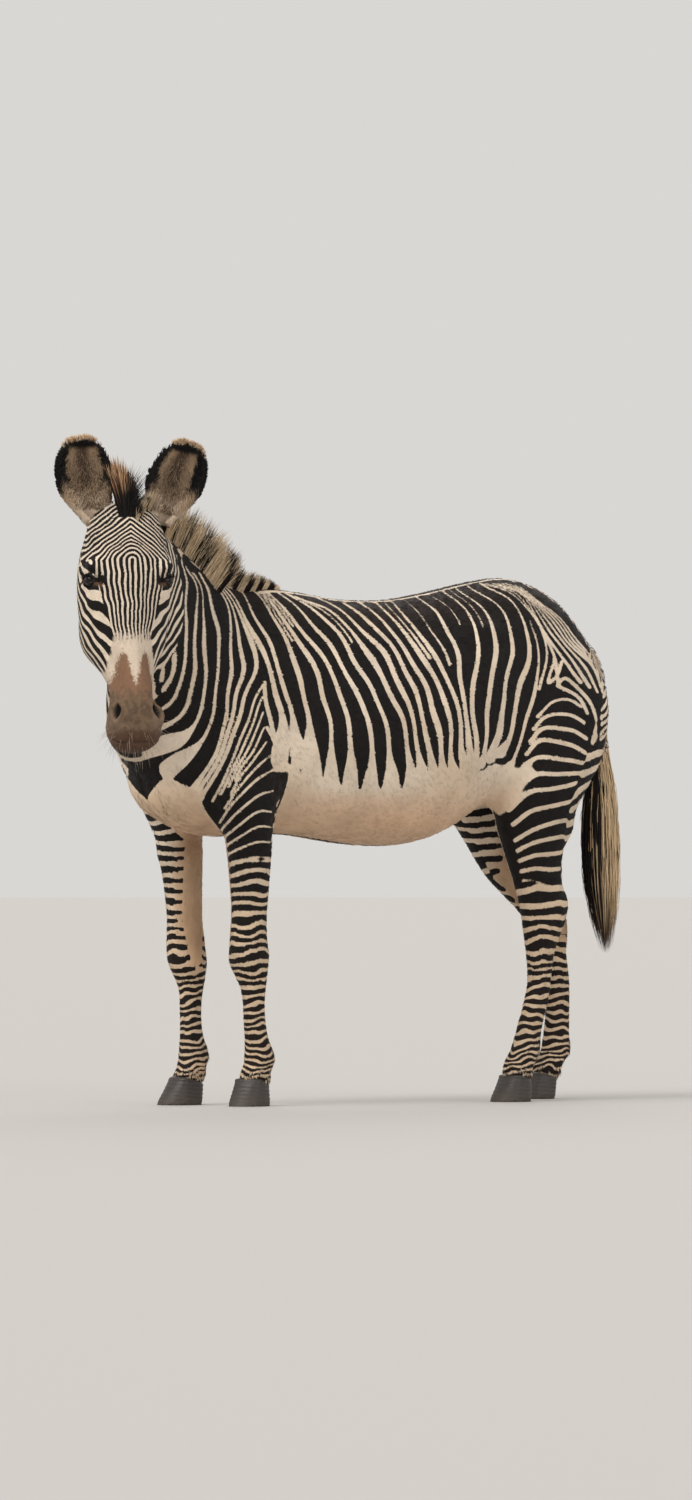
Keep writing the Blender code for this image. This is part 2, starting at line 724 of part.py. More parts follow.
def main():
    legs = [limb(leg, FORELEG if leg.startswith("fore") else HINDLEG) for leg in STANCE]
    flesh = fused(joined("flesh", [trunk(), neck(), *skull(), *legs, *body_bulges()]))
    neighbours = [grown(flesh, GAP)]

    fittings = {
        "forelock": (forelock(), "hair"),
        "ear_left": (ear("ear_left"), "coat"),
        "ear_right": (ear("ear_right"), "coat"),
        "mane": (mane(), "hair"),
        "tail_dock": (tube("tail_dock", DOCK), "coat"),
    }
    for name, (made, finish) in fittings.items():
        for other in neighbours:
            boolean(made, other)
        keep_largest(made)
        neighbours.append(grown(made, GAP))
        finished(made, name, finish)
    for other in neighbours:
        remove(other)
    finished(tube("tail_switch", SWITCH), "tail_switch", "hair")

    cut_hooves_off(flesh)
    for name, made in eyes(flesh).items():
        finished(made, name, "eye")
    for leg in STANCE:
        finished(hoof(leg), leg.replace("leg", "_hoof"), "horn")
    finished(part_head(flesh), "head", "coat")
    part_flesh(flesh)
    for name, piece in separated(flesh).items():
        finished(piece, name, "coat")


def centre_on_floor():
    """Moves the whole animal so that the origin is under the middle of its box."""
    for solid in parts.objects:
        moved(solid, solid.matrix_world).matrix_world = Matrix.Identity(4)
    corners = np.array([v.co for solid in parts.objects for v in solid.data.vertices])
    middle = (corners.min(0) + corners.max(0)) / 2
    for solid in parts.objects:
        moved(solid, Matrix.Translation((-middle[0], -middle[1], -corners[:, 2].min())))


clear_scene()
workshop = new_collection("workshop", in_render=False)
parts = new_collection("grevys_zebra")
main()
centre_on_floor()
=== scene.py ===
# %% [markdown]
# # A standing Grevy's zebra, dressed
# This notebook starts from plain measured solids of a life-size zebra and gives them a skin, a striped
# coat, hooves, eyes and hair. Each cell does one step, and says first what that part is on the living
# animal and why it is made the way it is. Everything is in metres, with the floor at zero.

import json
import math

import bmesh
import bpy
import numpy as np
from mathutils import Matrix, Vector
from mathutils.bvhtree import BVHTree
from mathutils.kdtree import KDTree

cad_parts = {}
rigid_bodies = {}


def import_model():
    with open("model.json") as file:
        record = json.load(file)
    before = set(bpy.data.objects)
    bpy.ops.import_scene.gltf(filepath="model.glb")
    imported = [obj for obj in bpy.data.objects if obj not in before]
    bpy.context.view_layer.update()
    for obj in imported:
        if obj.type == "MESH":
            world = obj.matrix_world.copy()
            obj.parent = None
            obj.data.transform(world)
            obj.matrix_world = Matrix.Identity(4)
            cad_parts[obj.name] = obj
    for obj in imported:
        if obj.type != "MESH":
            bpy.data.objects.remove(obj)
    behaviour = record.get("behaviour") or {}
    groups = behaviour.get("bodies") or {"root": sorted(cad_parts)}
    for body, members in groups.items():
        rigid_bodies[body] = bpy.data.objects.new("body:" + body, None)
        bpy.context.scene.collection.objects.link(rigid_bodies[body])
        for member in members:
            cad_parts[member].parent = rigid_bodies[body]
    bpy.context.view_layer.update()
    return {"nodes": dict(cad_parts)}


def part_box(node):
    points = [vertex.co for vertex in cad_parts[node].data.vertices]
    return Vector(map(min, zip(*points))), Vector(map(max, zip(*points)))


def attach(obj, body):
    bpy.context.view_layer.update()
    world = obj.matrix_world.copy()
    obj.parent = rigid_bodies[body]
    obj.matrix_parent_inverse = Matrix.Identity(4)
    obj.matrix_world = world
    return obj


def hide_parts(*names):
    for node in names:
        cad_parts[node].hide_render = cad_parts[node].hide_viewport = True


for startup in list(bpy.data.objects):
    bpy.data.objects.remove(startup)
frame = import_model()
solids = frame["nodes"]

# %% [markdown]
# ## Two sets of axes
# Stripes and hair are easier to describe on the animal than in the room. The body's own axes start on the
# floor under its midline: x to its left, y towards its tail. The head is turned, so it has axes of its
# own, found from the line between the eyes and the tilt of the nose: x to its left, y to the back of the
# skull, z up to the poll.

# %% Body axes and head axes
MIDLINE = np.array([-0.0642, 0.1767, 0.0])
NOSE_TILT = math.radians(12)
EYE_IN_HEAD = np.array([0.0, 0.060, -0.217])
eye_centres = {side: np.array(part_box("eye_" + side)).mean(0) for side in ("left", "right")}
leftward = eye_centres["left"] - eye_centres["right"]
leftward /= np.linalg.norm(leftward)
facing = np.cross(leftward, (0, 0, 1))
UP = np.array([0.0, 0.0, 1.0])
head_axes = np.array([
    leftward,
    -facing * math.cos(NOSE_TILT) - UP * math.sin(NOSE_TILT),
    UP * math.cos(NOSE_TILT) - facing * math.sin(NOSE_TILT),
])
poll = (eye_centres["left"] + eye_centres["right"]) / 2 - EYE_IN_HEAD @ head_axes


def in_head(points):
    return (points - poll) @ head_axes.T


def in_body(points):
    return points - MIDLINE


eyes_apart = np.linalg.norm(eye_centres["left"] - eye_centres["right"])
print("poll at", poll.round(3), "eyes apart by", round(float(eyes_apart), 3))

# %% [markdown]
# ## The skin's base
# The measured flesh is ten solids, parted by cuts thinner than a millimetre. A zebra's hide has no such
# seams. The solids are swollen by a millimetre so that they overlap, and one voxel remesh turns them into
# a single closed hide of even quads. Even quads matter: stripes are grown on them later, by letting each
# point look at its neighbours.

# %% One closed hide from all the flesh
FLESH = ("head", "neck", "trunk", "tail_dock", "ear_left", "ear_right",
         "foreleg_left", "foreleg_right", "hindleg_left", "hindleg_right")
SWELL = 0.0012
WELD = 1e-5
VOXEL = 0.0060


def solid_shape(name):
    shape = bmesh.new()
    shape.from_mesh(solids[name].data)
    bmesh.ops.remove_doubles(shape, verts=shape.verts, dist=WELD)
    bmesh.ops.triangulate(shape, faces=shape.faces)
    shape.normal_update()
    return shape


def new_piece(name, shape):
    """Turns a bmesh into a named object in the scene."""
    mesh = bpy.data.meshes.new(name)
    shape.to_mesh(mesh)
    shape.free()
    piece = bpy.data.objects.new(name, mesh)
    bpy.context.scene.collection.objects.link(piece)
    return piece


def swollen_flesh():
    whole = bmesh.new()
    for name in FLESH:
        shape = solid_shape(name)
        for vertex in shape.verts:
            vertex.co += vertex.normal * SWELL
        mesh = bpy.data.meshes.new("swollen")
        shape.to_mesh(mesh)
        whole.from_mesh(mesh)
        bpy.data.meshes.remove(mesh)
        shape.free()
    return new_piece("hide", whole)


def remesh(piece, voxel_size):
    """Replaces the piece's mesh by one closed skin of even quads."""
    voxels = piece.modifiers.new("voxels", "REMESH")
    voxels.mode = "VOXEL"
    voxels.voxel_size = voxel_size
    evaluated = piece.evaluated_get(bpy.context.evaluated_depsgraph_get())
    mesh = bpy.data.meshes.new_from_object(evaluated)
    piece.modifiers.clear()
    piece.data = mesh


hide = swollen_flesh()
remesh(hide, VOXEL)
print("remeshed hide:", len(hide.data.vertices), "points")

# %% [markdown]
# ## Finer where the pattern is finer
# The narrowest stripes, on the face and the feet, are a centimetre or so from one to the next, and the
# eyelids, nostrils and lips need room too. Only those areas are split once more, so the rest stays light.

# %% Split the head, the lower legs, the rump, the elbows, and once more the lids
FINE_BELOW = 0.34
LID_AREA = 0.040


def between(low, values, high):
    return (values > low) & (values < high)


def wants_fine(points):
    head = in_head(points)
    body = in_body(points)
    on_head = between(-0.75, head[:, 2], 0.05) & (head[:, 1] < 0.215) & (abs(head[:, 0]) < 0.2)
    on_head &= head[:, 1] < 0.12 - 0.45 * (head[:, 2] + 0.30).clip(-0.3, 0.4)
    on_rump = (body[:, 1] > 0.50) & (body[:, 2] > 1.12)
    on_elbow = between(-0.66, body[:, 1], -0.50) & between(0.80, body[:, 2], 1.20)
    return on_head | on_rump | on_elbow | (points[:, 2] < FINE_BELOW)


def wants_finest(points):
    from_eyes = [np.linalg.norm(points - centre, axis=1) for centre in eye_centres.values()]
    return np.min(from_eyes, axis=0) < LID_AREA


shape = bmesh.new()
shape.from_mesh(hide.data)
for wanted in (wants_fine, wants_finest):
    middles = np.array([face.calc_center_median() for face in shape.faces])
    split = wanted(middles)
    edges = {edge for face, chosen in zip(shape.faces, split) if chosen for edge in face.edges}
    bmesh.ops.subdivide_edges(shape, edges=list(edges), cuts=1, use_grid_fill=True)
    bmesh.ops.triangulate(shape, faces=[face for face in shape.faces if len(face.verts) > 4])
    print(wanted.__name__, int(split.sum()), "faces split")
shape.to_mesh(hide.data)
shape.free()
print("split hide:", len(hide.data.vertices), "points")

# %% [markdown]
# ## Numbers instead of brushes
# From here the hide is held as arrays, so a brush stroke becomes one line of arithmetic on all its
# points. `near` lists each point's neighbours, and `spread` lets a value soak into them, which smooths
# shapes, colours and stripes alike.

# %% The hide as arrays
def read(data, attribute, width, kind=np.float64):
    values = np.empty(len(data) * width, kind)
    data.foreach_get(attribute, values)
    return values.reshape(-1, width) if width > 1 else values


def neighbours(mesh, most=6):
    """Up to six neighbours of each point, with the point itself filling the empty places."""
    count = len(mesh.vertices)
    edges = read(mesh.edges, "vertices", 2, np.int32).astype(np.int64)
    ends = np.concatenate([edges, edges[:, ::-1]])
    ends = ends[np.argsort(ends[:, 0], kind="stable")]
    first = np.searchsorted(ends[:, 0], np.arange(count))
    rank = np.arange(len(ends)) - first[ends[:, 0]]
    table = np.repeat(np.arange(count)[:, None], most, 1)
    kept = rank < most
    table[ends[kept, 0], rank[kept]] = ends[kept, 1]
    return table


near = neighbours(hide.data)
points = read(hide.data.vertices, "co", 3)
corner_of = read(hide.data.loops, "vertex_index", 1, np.int32)
face_start = read(hide.data.polygons, "loop_start", 1, np.int32)
face_size = read(hide.data.polygons, "loop_total", 1, np.int32)
quads = np.stack([corner_of[face_start + np.minimum(i, face_size - 1)] for i in range(4)], 1)


def spread(values, times, rate=1.0):
    values = np.array(values, float)
    mixing = rate if np.isscalar(rate) or values.ndim == 1 else rate[:, None]
    for _ in range(times):
        values += mixing * (values[near].mean(1) - values)
    return values


def crossed_diagonals(where):
    return np.cross(where[quads[:, 2]] - where[quads[:, 0]], where[quads[:, 3]] - where[quads[:, 1]])


def normals_of(where):
    """Each point's normal, from the crossed diagonals of the faces round it."""
    across = crossed_diagonals(where)
    total = np.stack([np.bincount(quads.ravel(), np.repeat(across[:, i], 4), len(where))
                      for i in range(3)], 1)
    return total / np.maximum(np.linalg.norm(total, axis=1, keepdims=True), 1e-12)


def smoothstep(low, high, value):
    t = np.clip((value - low) / (high - low), 0, 1)
    return t * t * (3 - 2 * t)


print("neighbour table", near.shape)

# %% [markdown]
# ## Rounding off the facets
# The measured flesh is made of flat triangles a few centimetres wide. Plain smoothing would thin the legs
# and ears, so each point is first carried onto the curved patch that its triangle's corner normals
# describe, which keeps the true girth everywhere. The hide also sinks by the depth of the coat, because
# the measured outline is the hair's.

# %% Carry each point onto the curved flesh and sink it by the coat's depth
COAT_DEPTH = {"head": 0.0022, "neck": 0.0040, "trunk": 0.0045, "tail_dock": 0.005, "ear": 0.0012,
              "foreleg": 0.0028, "hindleg": 0.0030}
ACROSS_A_CUT = 0.0014
WELD_OVER_CUTS = 0.0016
CLOSE_BY = 0.004
CURVED_SHARE = 0.75


def without_side(name):
    return name.removesuffix("_left").removesuffix("_right")


def outer_surface():
    """The flesh's outer triangles, welded over the cuts, with the solid that each came from."""
    trees = {name: BVHTree.FromBMesh(solid_shape(name)) for name in FLESH}
    whole = bmesh.new()
    owner = whole.faces.layers.int.new("owner")
    for index, name in enumerate(FLESH):
        shape = solid_shape(name)
        owner_here = shape.faces.layers.int.new("owner")
        cut = []
        for face in shape.faces:
            face[owner_here] = index
            for other in FLESH:
                if other == name:
                    continue
                at, normal, _, gap = trees[other].find_nearest(face.calc_center_median(), ACROSS_A_CUT)
                if at and normal.dot(face.normal) < -0.5:
                    cut.append(face)
                    break
        bmesh.ops.delete(shape, geom=cut, context="FACES")
        mesh = bpy.data.meshes.new("outer")
        shape.to_mesh(mesh)
        whole.from_mesh(mesh)
        bpy.data.meshes.remove(mesh)
        shape.free()
    bmesh.ops.remove_doubles(whole, verts=whole.verts, dist=WELD_OVER_CUTS)
    bmesh.ops.triangulate(whole, faces=whole.faces)
    whole.normal_update()
    whole.verts.ensure_lookup_table()
    corners = np.array([[v.index for v in face.verts] for face in whole.faces])
    owners = np.array([face[owner] for face in whole.faces])
    places = np.array([v.co for v in whole.verts])
    facing_out = np.array([v.normal for v in whole.verts])
    tree = BVHTree.FromBMesh(whole)
    whole.free()
    return corners, owners, places, facing_out, tree


corners, owners, places, facing_out, outer_tree = outer_surface()
hits = [outer_tree.find_nearest(point) for point in points.tolist()]
face_hit = np.array([hit[2] for hit in hits])
foot = np.array([hit[0] for hit in hits])
a, b, c = (places[corners[face_hit, i]] for i in range(3))
whole_area = np.cross(b - a, c - a)
scale = 1 / np.maximum((whole_area**2).sum(1), 1e-18)
weights = np.stack([(np.cross(start - foot, end - foot) * whole_area).sum(1) * scale
                    for start, end in ((b, c), (c, a), (a, b))], 1).clip(0, 1)
weights /= weights.sum(1, keepdims=True)
curved = np.zeros_like(points)
outward = np.zeros_like(points)
for i in range(3):
    normal = facing_out[corners[face_hit, i]]
    lift = ((foot - places[corners[face_hit, i]]) * normal).sum(1, keepdims=True)
    curved += weights[:, i:i + 1] * (foot - lift * normal)
    outward += weights[:, i:i + 1] * normal
outward /= np.maximum(np.linalg.norm(outward, axis=1, keepdims=True), 1e-9)
part_of = owners[face_hit]
depth = spread(np.array([COAT_DEPTH[without_side(name)] for name in FLESH])[part_of], 12)
close = np.linalg.norm(foot - points, axis=1) < CLOSE_BY
target = foot + CURVED_SHARE * (curved - foot) - outward * depth[:, None]
points[close] = target[close]
print("points carried onto the curved flesh:", int(close.sum()), "of", len(points))

# %% [markdown]
# ## Even smoothing that keeps its girth
# A light smoothing clears the last of the facets. What it takes from the girth is measured and given
# back, and it is weakest on the ears and the feet, where the shapes are small.

# %% Smooth, then give the girth back
is_part = {name: part_of == index for index, name in enumerate(FLESH)}


def share_of(names, times):
    """1 on the named parts and 0 elsewhere, with a soft border."""
    return spread(np.any([is_part[name] for name in names], axis=0).astype(float), times)


on_ears = share_of(("ear_left", "ear_right"), 3)
on_head = share_of(("head",), 8)
strength = 1 - 0.75 * on_ears


def smoothed(where, times):
    soft = spread(where, times, strength)
    return soft + spread(where - soft, times, strength)


bulk = share_of(("trunk", "neck"), 10)
points += bulk[:, None] * (smoothed(points, 30) - points)
points = smoothed(points, 8)
print("smoothed; height of the hide", points[:, 2].max().round(3))

# %% [markdown]
# ## The face in clay
# Bone and muscle show through the thin skin of a head: hollows above the eyes, a ridge along the cheek, a
# flat nose bone, winged nostrils, and soft lips round a slit of a mouth. A sculptor would push these in
# with a round brush. `press` is that brush: it moves the points near a place along their normals, on both
# sides of the head at once.

# %% A brush, and the bones of the head
def both_sides(where):
    """The places with the right side turned over onto the left."""
    return np.stack([abs(where[:, 0]), where[:, 1], where[:, 2]], 1)


def press(place, reach, amount):
    """Pushes the hide out (or in, if negative) round a place in head axes, with a soft round edge."""
    global points
    force = np.exp(-(((both_sides(in_head(points)) - place) / reach) ** 2).sum(1)) * clay_head
    points = points + clay_normals * (amount * force)[:, None]


clay_head = share_of(("head",), 6)
clay_normals = spread(normals_of(points), 6)
clay_normals /= np.linalg.norm(clay_normals, axis=1, keepdims=True)
# Each has its place, its reach along the three axes of the head, and how far it is pushed out.
HOLLOWS_AND_RIDGES = {
    "hollow above the eye": ((0.088, 0.085, -0.135), (0.022, 0.030, 0.026), -0.0060),
    "brow ridge": ((0.104, 0.036, -0.176), (0.022, 0.024, 0.016), 0.0085),
    "hollow before the eye": ((0.075, 0.012, -0.262), (0.018, 0.024, 0.030), -0.0035),
    "cheek ridge": ((0.118, 0.080, -0.290), (0.030, 0.040, 0.014), 0.0035),
    "lower cheek ridge": ((0.104, 0.070, -0.335), (0.026, 0.036, 0.014), 0.0030),
    "side of the nose": ((0.056, 0.040, -0.470), (0.016, 0.030, 0.070), -0.0055),
    "jaw edge": ((0.070, 0.240, -0.360), (0.030, 0.020, 0.060), 0.0040),
    "nostril wing": ((0.072, 0.034, -0.592), (0.016, 0.022, 0.028), 0.0055),
    "behind the nostril": ((0.066, 0.062, -0.560), (0.016, 0.018, 0.030), -0.0040),
    "upper lip": ((0.030, 0.006, -0.660), (0.034, 0.024, 0.016), 0.0035),
    "groove of the upper lip": ((0.000, -0.004, -0.640), (0.006, 0.030, 0.030), -0.0015),
}
for place, reach, amount in HOLLOWS_AND_RIDGES.values():
    press(place, reach, amount)
print("pressed", len(HOLLOWS_AND_RIDGES), "places on the head")

# %% [markdown]
# ## Nostrils and mouth
# A nostril is a comma-shaped slit that leans inward at its foot, with a thick outer wing. The mouth is a
# groove that starts under the upper lip and climbs along the side of the muzzle; the chin sits behind the
# lower lip.

# %% Nostrils and mouth
NOSTRIL = np.array([0.060, 0.012, -0.603])
NOSTRIL_OUT = np.array([0.72, -0.69, -0.08])
NOSTRIL_LONG = np.array([0.22, 0.10, 0.97])
NOSTRIL_HALF_LONG = 0.0235
NOSTRIL_HALF_WIDE = 0.0085
NOSTRIL_DEEP = 0.03


def slit_share(where):
    """How far each point is from the middle of the nostril's slit: 0 there, 1 at its edge."""
    out = NOSTRIL_OUT / np.linalg.norm(NOSTRIL_OUT)
    long = NOSTRIL_LONG - (NOSTRIL_LONG @ out) * out
    long /= np.linalg.norm(long)
    wide = np.cross(long, out)
    away = where - NOSTRIL
    up_slit = away @ long
    over_slit = away @ wide - 0.25 * up_slit**2 / NOSTRIL_HALF_LONG
    too_deep = 3 * (abs(away @ out) - NOSTRIL_DEEP).clip(0) / NOSTRIL_DEEP
    return np.hypot(up_slit / NOSTRIL_HALF_LONG, over_slit / NOSTRIL_HALF_WIDE) + too_deep


nostril_share = slit_share(both_sides(in_head(points)))
hand_of_head = np.sign(in_head(points)[:, :1])
inward_nostril = -NOSTRIL_OUT * np.concatenate([hand_of_head, np.ones((len(points), 2))], 1)
dent = 0.020 * smoothstep(1.25, 0.35, nostril_share) * clay_head
rim_lift = 0.0035 * np.exp(-(((nostril_share - 1.55) / 0.40) ** 2)) * clay_head
points = points + (inward_nostril @ head_axes) * (dent - rim_lift)[:, None]

where = both_sides(in_head(points))
MOUTH_FRONT = -0.690
mouth_height = MOUTH_FRONT + 0.85 * (where[:, 1] - 0.045).clip(0)
mouth_gap = where[:, 2] - mouth_height
in_mouth = smoothstep(0.150, 0.125, where[:, 1]) * clay_head
groove = np.exp(-((mouth_gap / 0.0035) ** 2)) * in_mouth
upper_lip = np.exp(-(((mouth_gap - 0.012) / 0.009) ** 2))
lower_lip = np.exp(-(((mouth_gap + 0.010) / 0.008) ** 2))
lips_swell = (upper_lip + 0.8 * lower_lip) * in_mouth
points = points + clay_normals * (0.0022 * lips_swell - 0.0055 * groove)[:, None]
print("nostril points:", int((nostril_share < 1).sum()), "mouth points:", int((groove > 0.5).sum()))

# %% [markdown]
# ## Eyelids
# The lids are skin stretched over the eyeball, open in an almond that lies level on a standing animal.
# Each point near the eye is placed by its direction from the ball's centre: inside the almond it drops
# behind the ball, at the edge it lies a lid's thickness over the ball, and further out it eases back to
# the face, with a fold above.

# %% Lids round each eyeball
EYE_RADIUS = 0.0215
LID_THICKNESS = 0.0026
SLANT = 0.08
NARROWING = 0.38
OPENING = (0.0196, 0.0108)
GAZE = np.array([0.78, -0.62, -0.02])
GAZE /= np.linalg.norm(GAZE)


def eye_frame(hand_of):
    """Where the eye looks, its forward corner and its upper lid, as directions in the room."""
    look = (GAZE * (hand_of, 1, 1)) @ head_axes
    upper = UP - (UP @ look) * look
    upper /= np.linalg.norm(upper)
    front = np.cross(look, upper) * hand_of
    return look, front, upper


def on_ball(hand_of, u, v):
    """The direction from an eyeball's centre to the place u forward and v up on its surface."""
    look, front, upper = eye_frame(hand_of)
    forward = math.sqrt(1 - (u**2 + v**2) / EYE_RADIUS**2)
    return look * forward + front * u / EYE_RADIUS + upper * v / EYE_RADIUS


def almond_share(u, v):
    """0 in the middle of the eye's opening, 1 at its edge. It narrows to both corners, and more below."""
    half = OPENING[1] * (1 - NARROWING * np.clip(abs(u) / OPENING[0], 0, 1) ** 2)
    half = half * np.where(v > 0, 1.0, 0.85)
    return np.hypot(u / OPENING[0], v / half)


lid_share = np.full(len(points), 9.0)
for side, hand_of in (("left", 1), ("right", -1)):
    centre = eye_centres[side]
    look, front, upper = eye_frame(hand_of)
    away = points - centre
    distance = np.linalg.norm(away, axis=1)
    close_by = (distance < 0.050) & (away @ look > -0.004)
    direction = away / distance[:, None]
    level = (direction @ upper) * EYE_RADIUS + SLANT * direction @ front * EYE_RADIUS
    share = almond_share(direction @ front * EYE_RADIUS, level)
    share = np.where(direction @ look > 0, share, 9.0)
    lid = EYE_RADIUS + LID_THICKNESS + 0.0010 * smoothstep(1.5, 1.1, share)
    lid += 0.0024 * smoothstep(0.0, 0.35, direction @ upper) * smoothstep(2.0, 1.2, share)
    fold = -0.0032 * np.exp(-(((share - 1.62) / 0.16) ** 2)) * smoothstep(-0.2, 0.3, direction @ upper)
    fold -= 0.0016 * np.exp(-(((share - 1.85) / 0.20) ** 2)) * smoothstep(0.1, -0.3, direction @ upper)
    eased = smoothstep(2.3, 1.25, share)
    outside = np.maximum(distance, lid) * (1 - eased) + np.maximum(lid, distance - 0.012 * eased) * eased
    thickest = lid + 0.004 * smoothstep(1.0, 1.6, share)
    outside = np.where(share < 1.6, np.minimum(outside, thickest), outside)
    radius = np.where(share < 1.0, EYE_RADIUS - 0.0045, outside + fold)
    placed = centre + direction * radius[:, None]
    points = np.where(close_by[:, None], placed, points)
    lid_share = np.where(close_by, share, lid_share)
easing = smoothstep(1.25, 1.6, lid_share) * smoothstep(4.0, 2.4, lid_share) * 0.8
points = points + (spread(points, 4, easing) - points)
print("lid points:", int(((lid_share > 1) & (lid_share < 1.6)).sum()))

# %% [markdown]
# ## Folds and sinews of the body
# The skin is thin on the flank and hangs in a fold from the knee to the belly, and another behind each
# elbow. Below the knee only bone and tendon are left, so a long groove runs down each side of the cannon.
# Pressing these in keeps the body from looking inflated.

# %% Press the body's grooves
def press_body(place, reach, amount, tilt=0.0):
    """The same brush in body axes. `tilt` leans the stroke in the side view, in radians."""
    global points
    away = both_sides(in_body(points)) - place
    y = away[:, 1] * math.cos(tilt) - away[:, 2] * math.sin(tilt)
    z = away[:, 1] * math.sin(tilt) + away[:, 2] * math.cos(tilt)
    off = (away[:, 0] / reach[0]) ** 2 + (y / reach[1]) ** 2 + (z / reach[2]) ** 2
    points = points + clay_normals * (amount * (np.exp(-off) * (1 - clay_head)))[:, None]


BODY_GROOVES = {
    "fold of the flank": ((0.170, 0.330, 0.930), (0.08, 0.012, 0.075), -0.0050, 0.55),
    "flank hollow": ((0.210, 0.330, 1.220), (0.08, 0.060, 0.075), -0.0060, 0.2),
    "behind the elbow": ((0.150, -0.470, 0.880), (0.07, 0.014, 0.080), -0.0070, 0.25),
    "before the shoulder": ((0.110, -0.690, 1.080), (0.06, 0.020, 0.130), -0.0060, -0.35),
    "edge of the shoulder blade": ((0.130, -0.400, 1.250), (0.08, 0.022, 0.110), -0.0045, -0.3),
    "point of the hip": ((0.170, 0.400, 1.340), (0.05, 0.035, 0.035), 0.0050, 0.0),
    "thigh groove": ((0.180, 0.700, 1.050), (0.08, 0.018, 0.150), -0.0060, 0.1),
    "breast groove": ((0.000, -0.820, 0.930), (0.012, 0.080, 0.080), -0.0060, 0.0),
}
for place, reach, amount, tilt in BODY_GROOVES.values():
    press_body(place, reach, amount, tilt)
CANNONS = {"foreleg": (0.30, 0.085), "hindleg": (0.34, 0.110)}
for leg in FLESH[6:]:
    middle_height, tall = CANNONS[without_side(leg)]
    from_middle_height = abs(points[:, 2] - middle_height)
    cannon = is_part[leg] & (from_middle_height < tall)
    levels = np.linspace(middle_height - tall, middle_height + tall, 6)
    centres = np.array([points[cannon & (abs(points[:, 2] - level) < 0.02)][:, :2].mean(0)
                        for level in levels])
    axis = np.stack([np.interp(points[:, 2], levels, centres[:, i]) for i in (0, 1)], 1)
    lengthwise = (points[:, :2] - axis)[:, 1]
    sinew = np.exp(-((lengthwise - 0.009) / 0.006) ** 2) * is_part[leg]
    sinew *= smoothstep(tall, 0.6 * tall, from_middle_height)
    points = points - clay_normals * (0.0030 * sinew)[:, None]
points = points + bulk[:, None] * (spread(points, 4) - points)
print("body grooves:", len(BODY_GROOVES))

# %% [markdown]
# ## Where the pale lines run on the flank
# A Grevy's zebra is a black animal crossed by narrow pale lines. They fan down the neck, meet in nested
# chevrons behind the shoulder, run upright over the barrel and fork near the back, and turn over three
# ways at the hip. Each family gets a few guide lines, as knots in whole centimetres on an upright plan
# turned 53 degrees from the chest: how far back along the plan, and how high. The other lines of a family
# are spread evenly between its guides.

# %% Guide lines of each family, and how many more lines lie between each guide and the next
NECK_GUIDES = (
    ((-59, 151), (-59, 138), (-60, 130), (-64, 123)),
    ((-58, 157), (-57, 150), (-58, 136), (-59, 122), (-65, 115)),
    ((-53, 152), (-50, 145), (-50, 130), (-50, 117), (-55, 106), (-68, 101)),
    ((-50, 152), (-44, 143), (-42, 130), (-42, 119), (-45, 104), (-52, 91)),
    ((-48, 152), (-41, 143), (-36, 130), (-37, 120), (-42, 104), (-50, 88)),
)
NECK_MORE = (0, 2, 1, 1)
SHOULDER_GUIDES = (
    ((-33, 121), (-36, 113), (-41, 101), (-47, 87)),
    ((-32, 108), (-36, 101), (-39, 97), (-41, 93)),
    ((-30, 96), (-35, 93), (-41, 87), (-45, 81)),
    ((-31, 84), (-35, 84), (-40, 80), (-45, 76)),
    ((-31, 71), (-35, 71), (-40, 70), (-45, 68)),
)
SHOULDER_MORE = (2, 2, 1, 2)
BARREL_GUIDES = (
    ((-48, 153), (-41, 145), (-34, 130), (-29, 116), (-27, 106), (-28, 99)),
    ((-46, 153), (-39, 146), (-31, 130), (-26, 115), (-24, 106), (-22, 99)),
    ((-40, 151), (-32, 143), (-25, 130), (-21, 115), (-20, 105), (-19, 96)),
    ((-35, 150), (-25, 140), (-15, 126), (-10, 115), (-8, 105), (-8, 96)),
    ((-24, 146), (-13, 141), (-3, 130), (5, 115), (8, 105), (9, 96)),
    ((2, 147), (9, 139), (17, 127), (22, 116), (24, 106), (25, 96)),
    ((18, 149), (26, 142), (29, 133), (27, 118), (28, 105), (28, 97)),
    ((29, 151), (39, 145), (43, 134), (41, 120), (38, 108), (35, 101)),
)
BARREL_MORE = (0, 0, 1, 2, 4, 1, 2)
RUMP_GUIDES = (
    ((29, 151), (38, 148), (46, 140), (49, 131), (46, 120)),
    ((33, 151), (42, 147), (49, 136), (54, 128), (59, 122)),
    ((37, 151), (46, 145), (54, 135), (62, 127), (66, 118)),
    ((41, 150), (50, 143), (58, 135), (65, 126), (66, 121)),
)
RUMP_MORE = (1, 2, 2)
THIGH_GUIDES = (
    ((46, 112), (50, 116), (55, 117), (59, 115)),
    ((43, 101), (47, 105), (54, 104), (62, 101)),
    ((38, 85), (44, 90), (51, 91), (59, 93)),
    ((39, 76), (44, 79), (50, 81), (55, 82)),
    ((42, 64), (46, 64), (50, 63), (53, 63)),
)
THIGH_MORE = (2, 2, 1, 3)
SINGLE_LINES = (
    ((44, 140), (46, 131), (44, 116), (41, 105), (38, 96), (37, 88)),
    ((-33, 121), (-31, 113), (-28, 102)),
    ((-31, 108), (-29, 104), (-28, 99)),
    ((52, 121), (55, 123), (61, 117), (65, 108)),
    ((52, 121), (58, 118), (61, 113)),
    ((49, 135), (51, 129), (49, 122), (52, 124), (53, 128)),
)
# A fork fills the gap after this barrel line, from the back down to this share of its length.
FORKS = ((2, 0.40), (3, 0.35), (6, 0.40), (11, 0.45), (12, 0.50), (13, 0.30), (14, 0.35))

VIEW_TURN = math.radians(53)
PLAN_LOW = np.array([-76.0, 56.0])
PLAN_HIGH = np.array([74.0, 164.0])
PLAN_CELL = 0.25
PLAN_MARGIN = 2.5


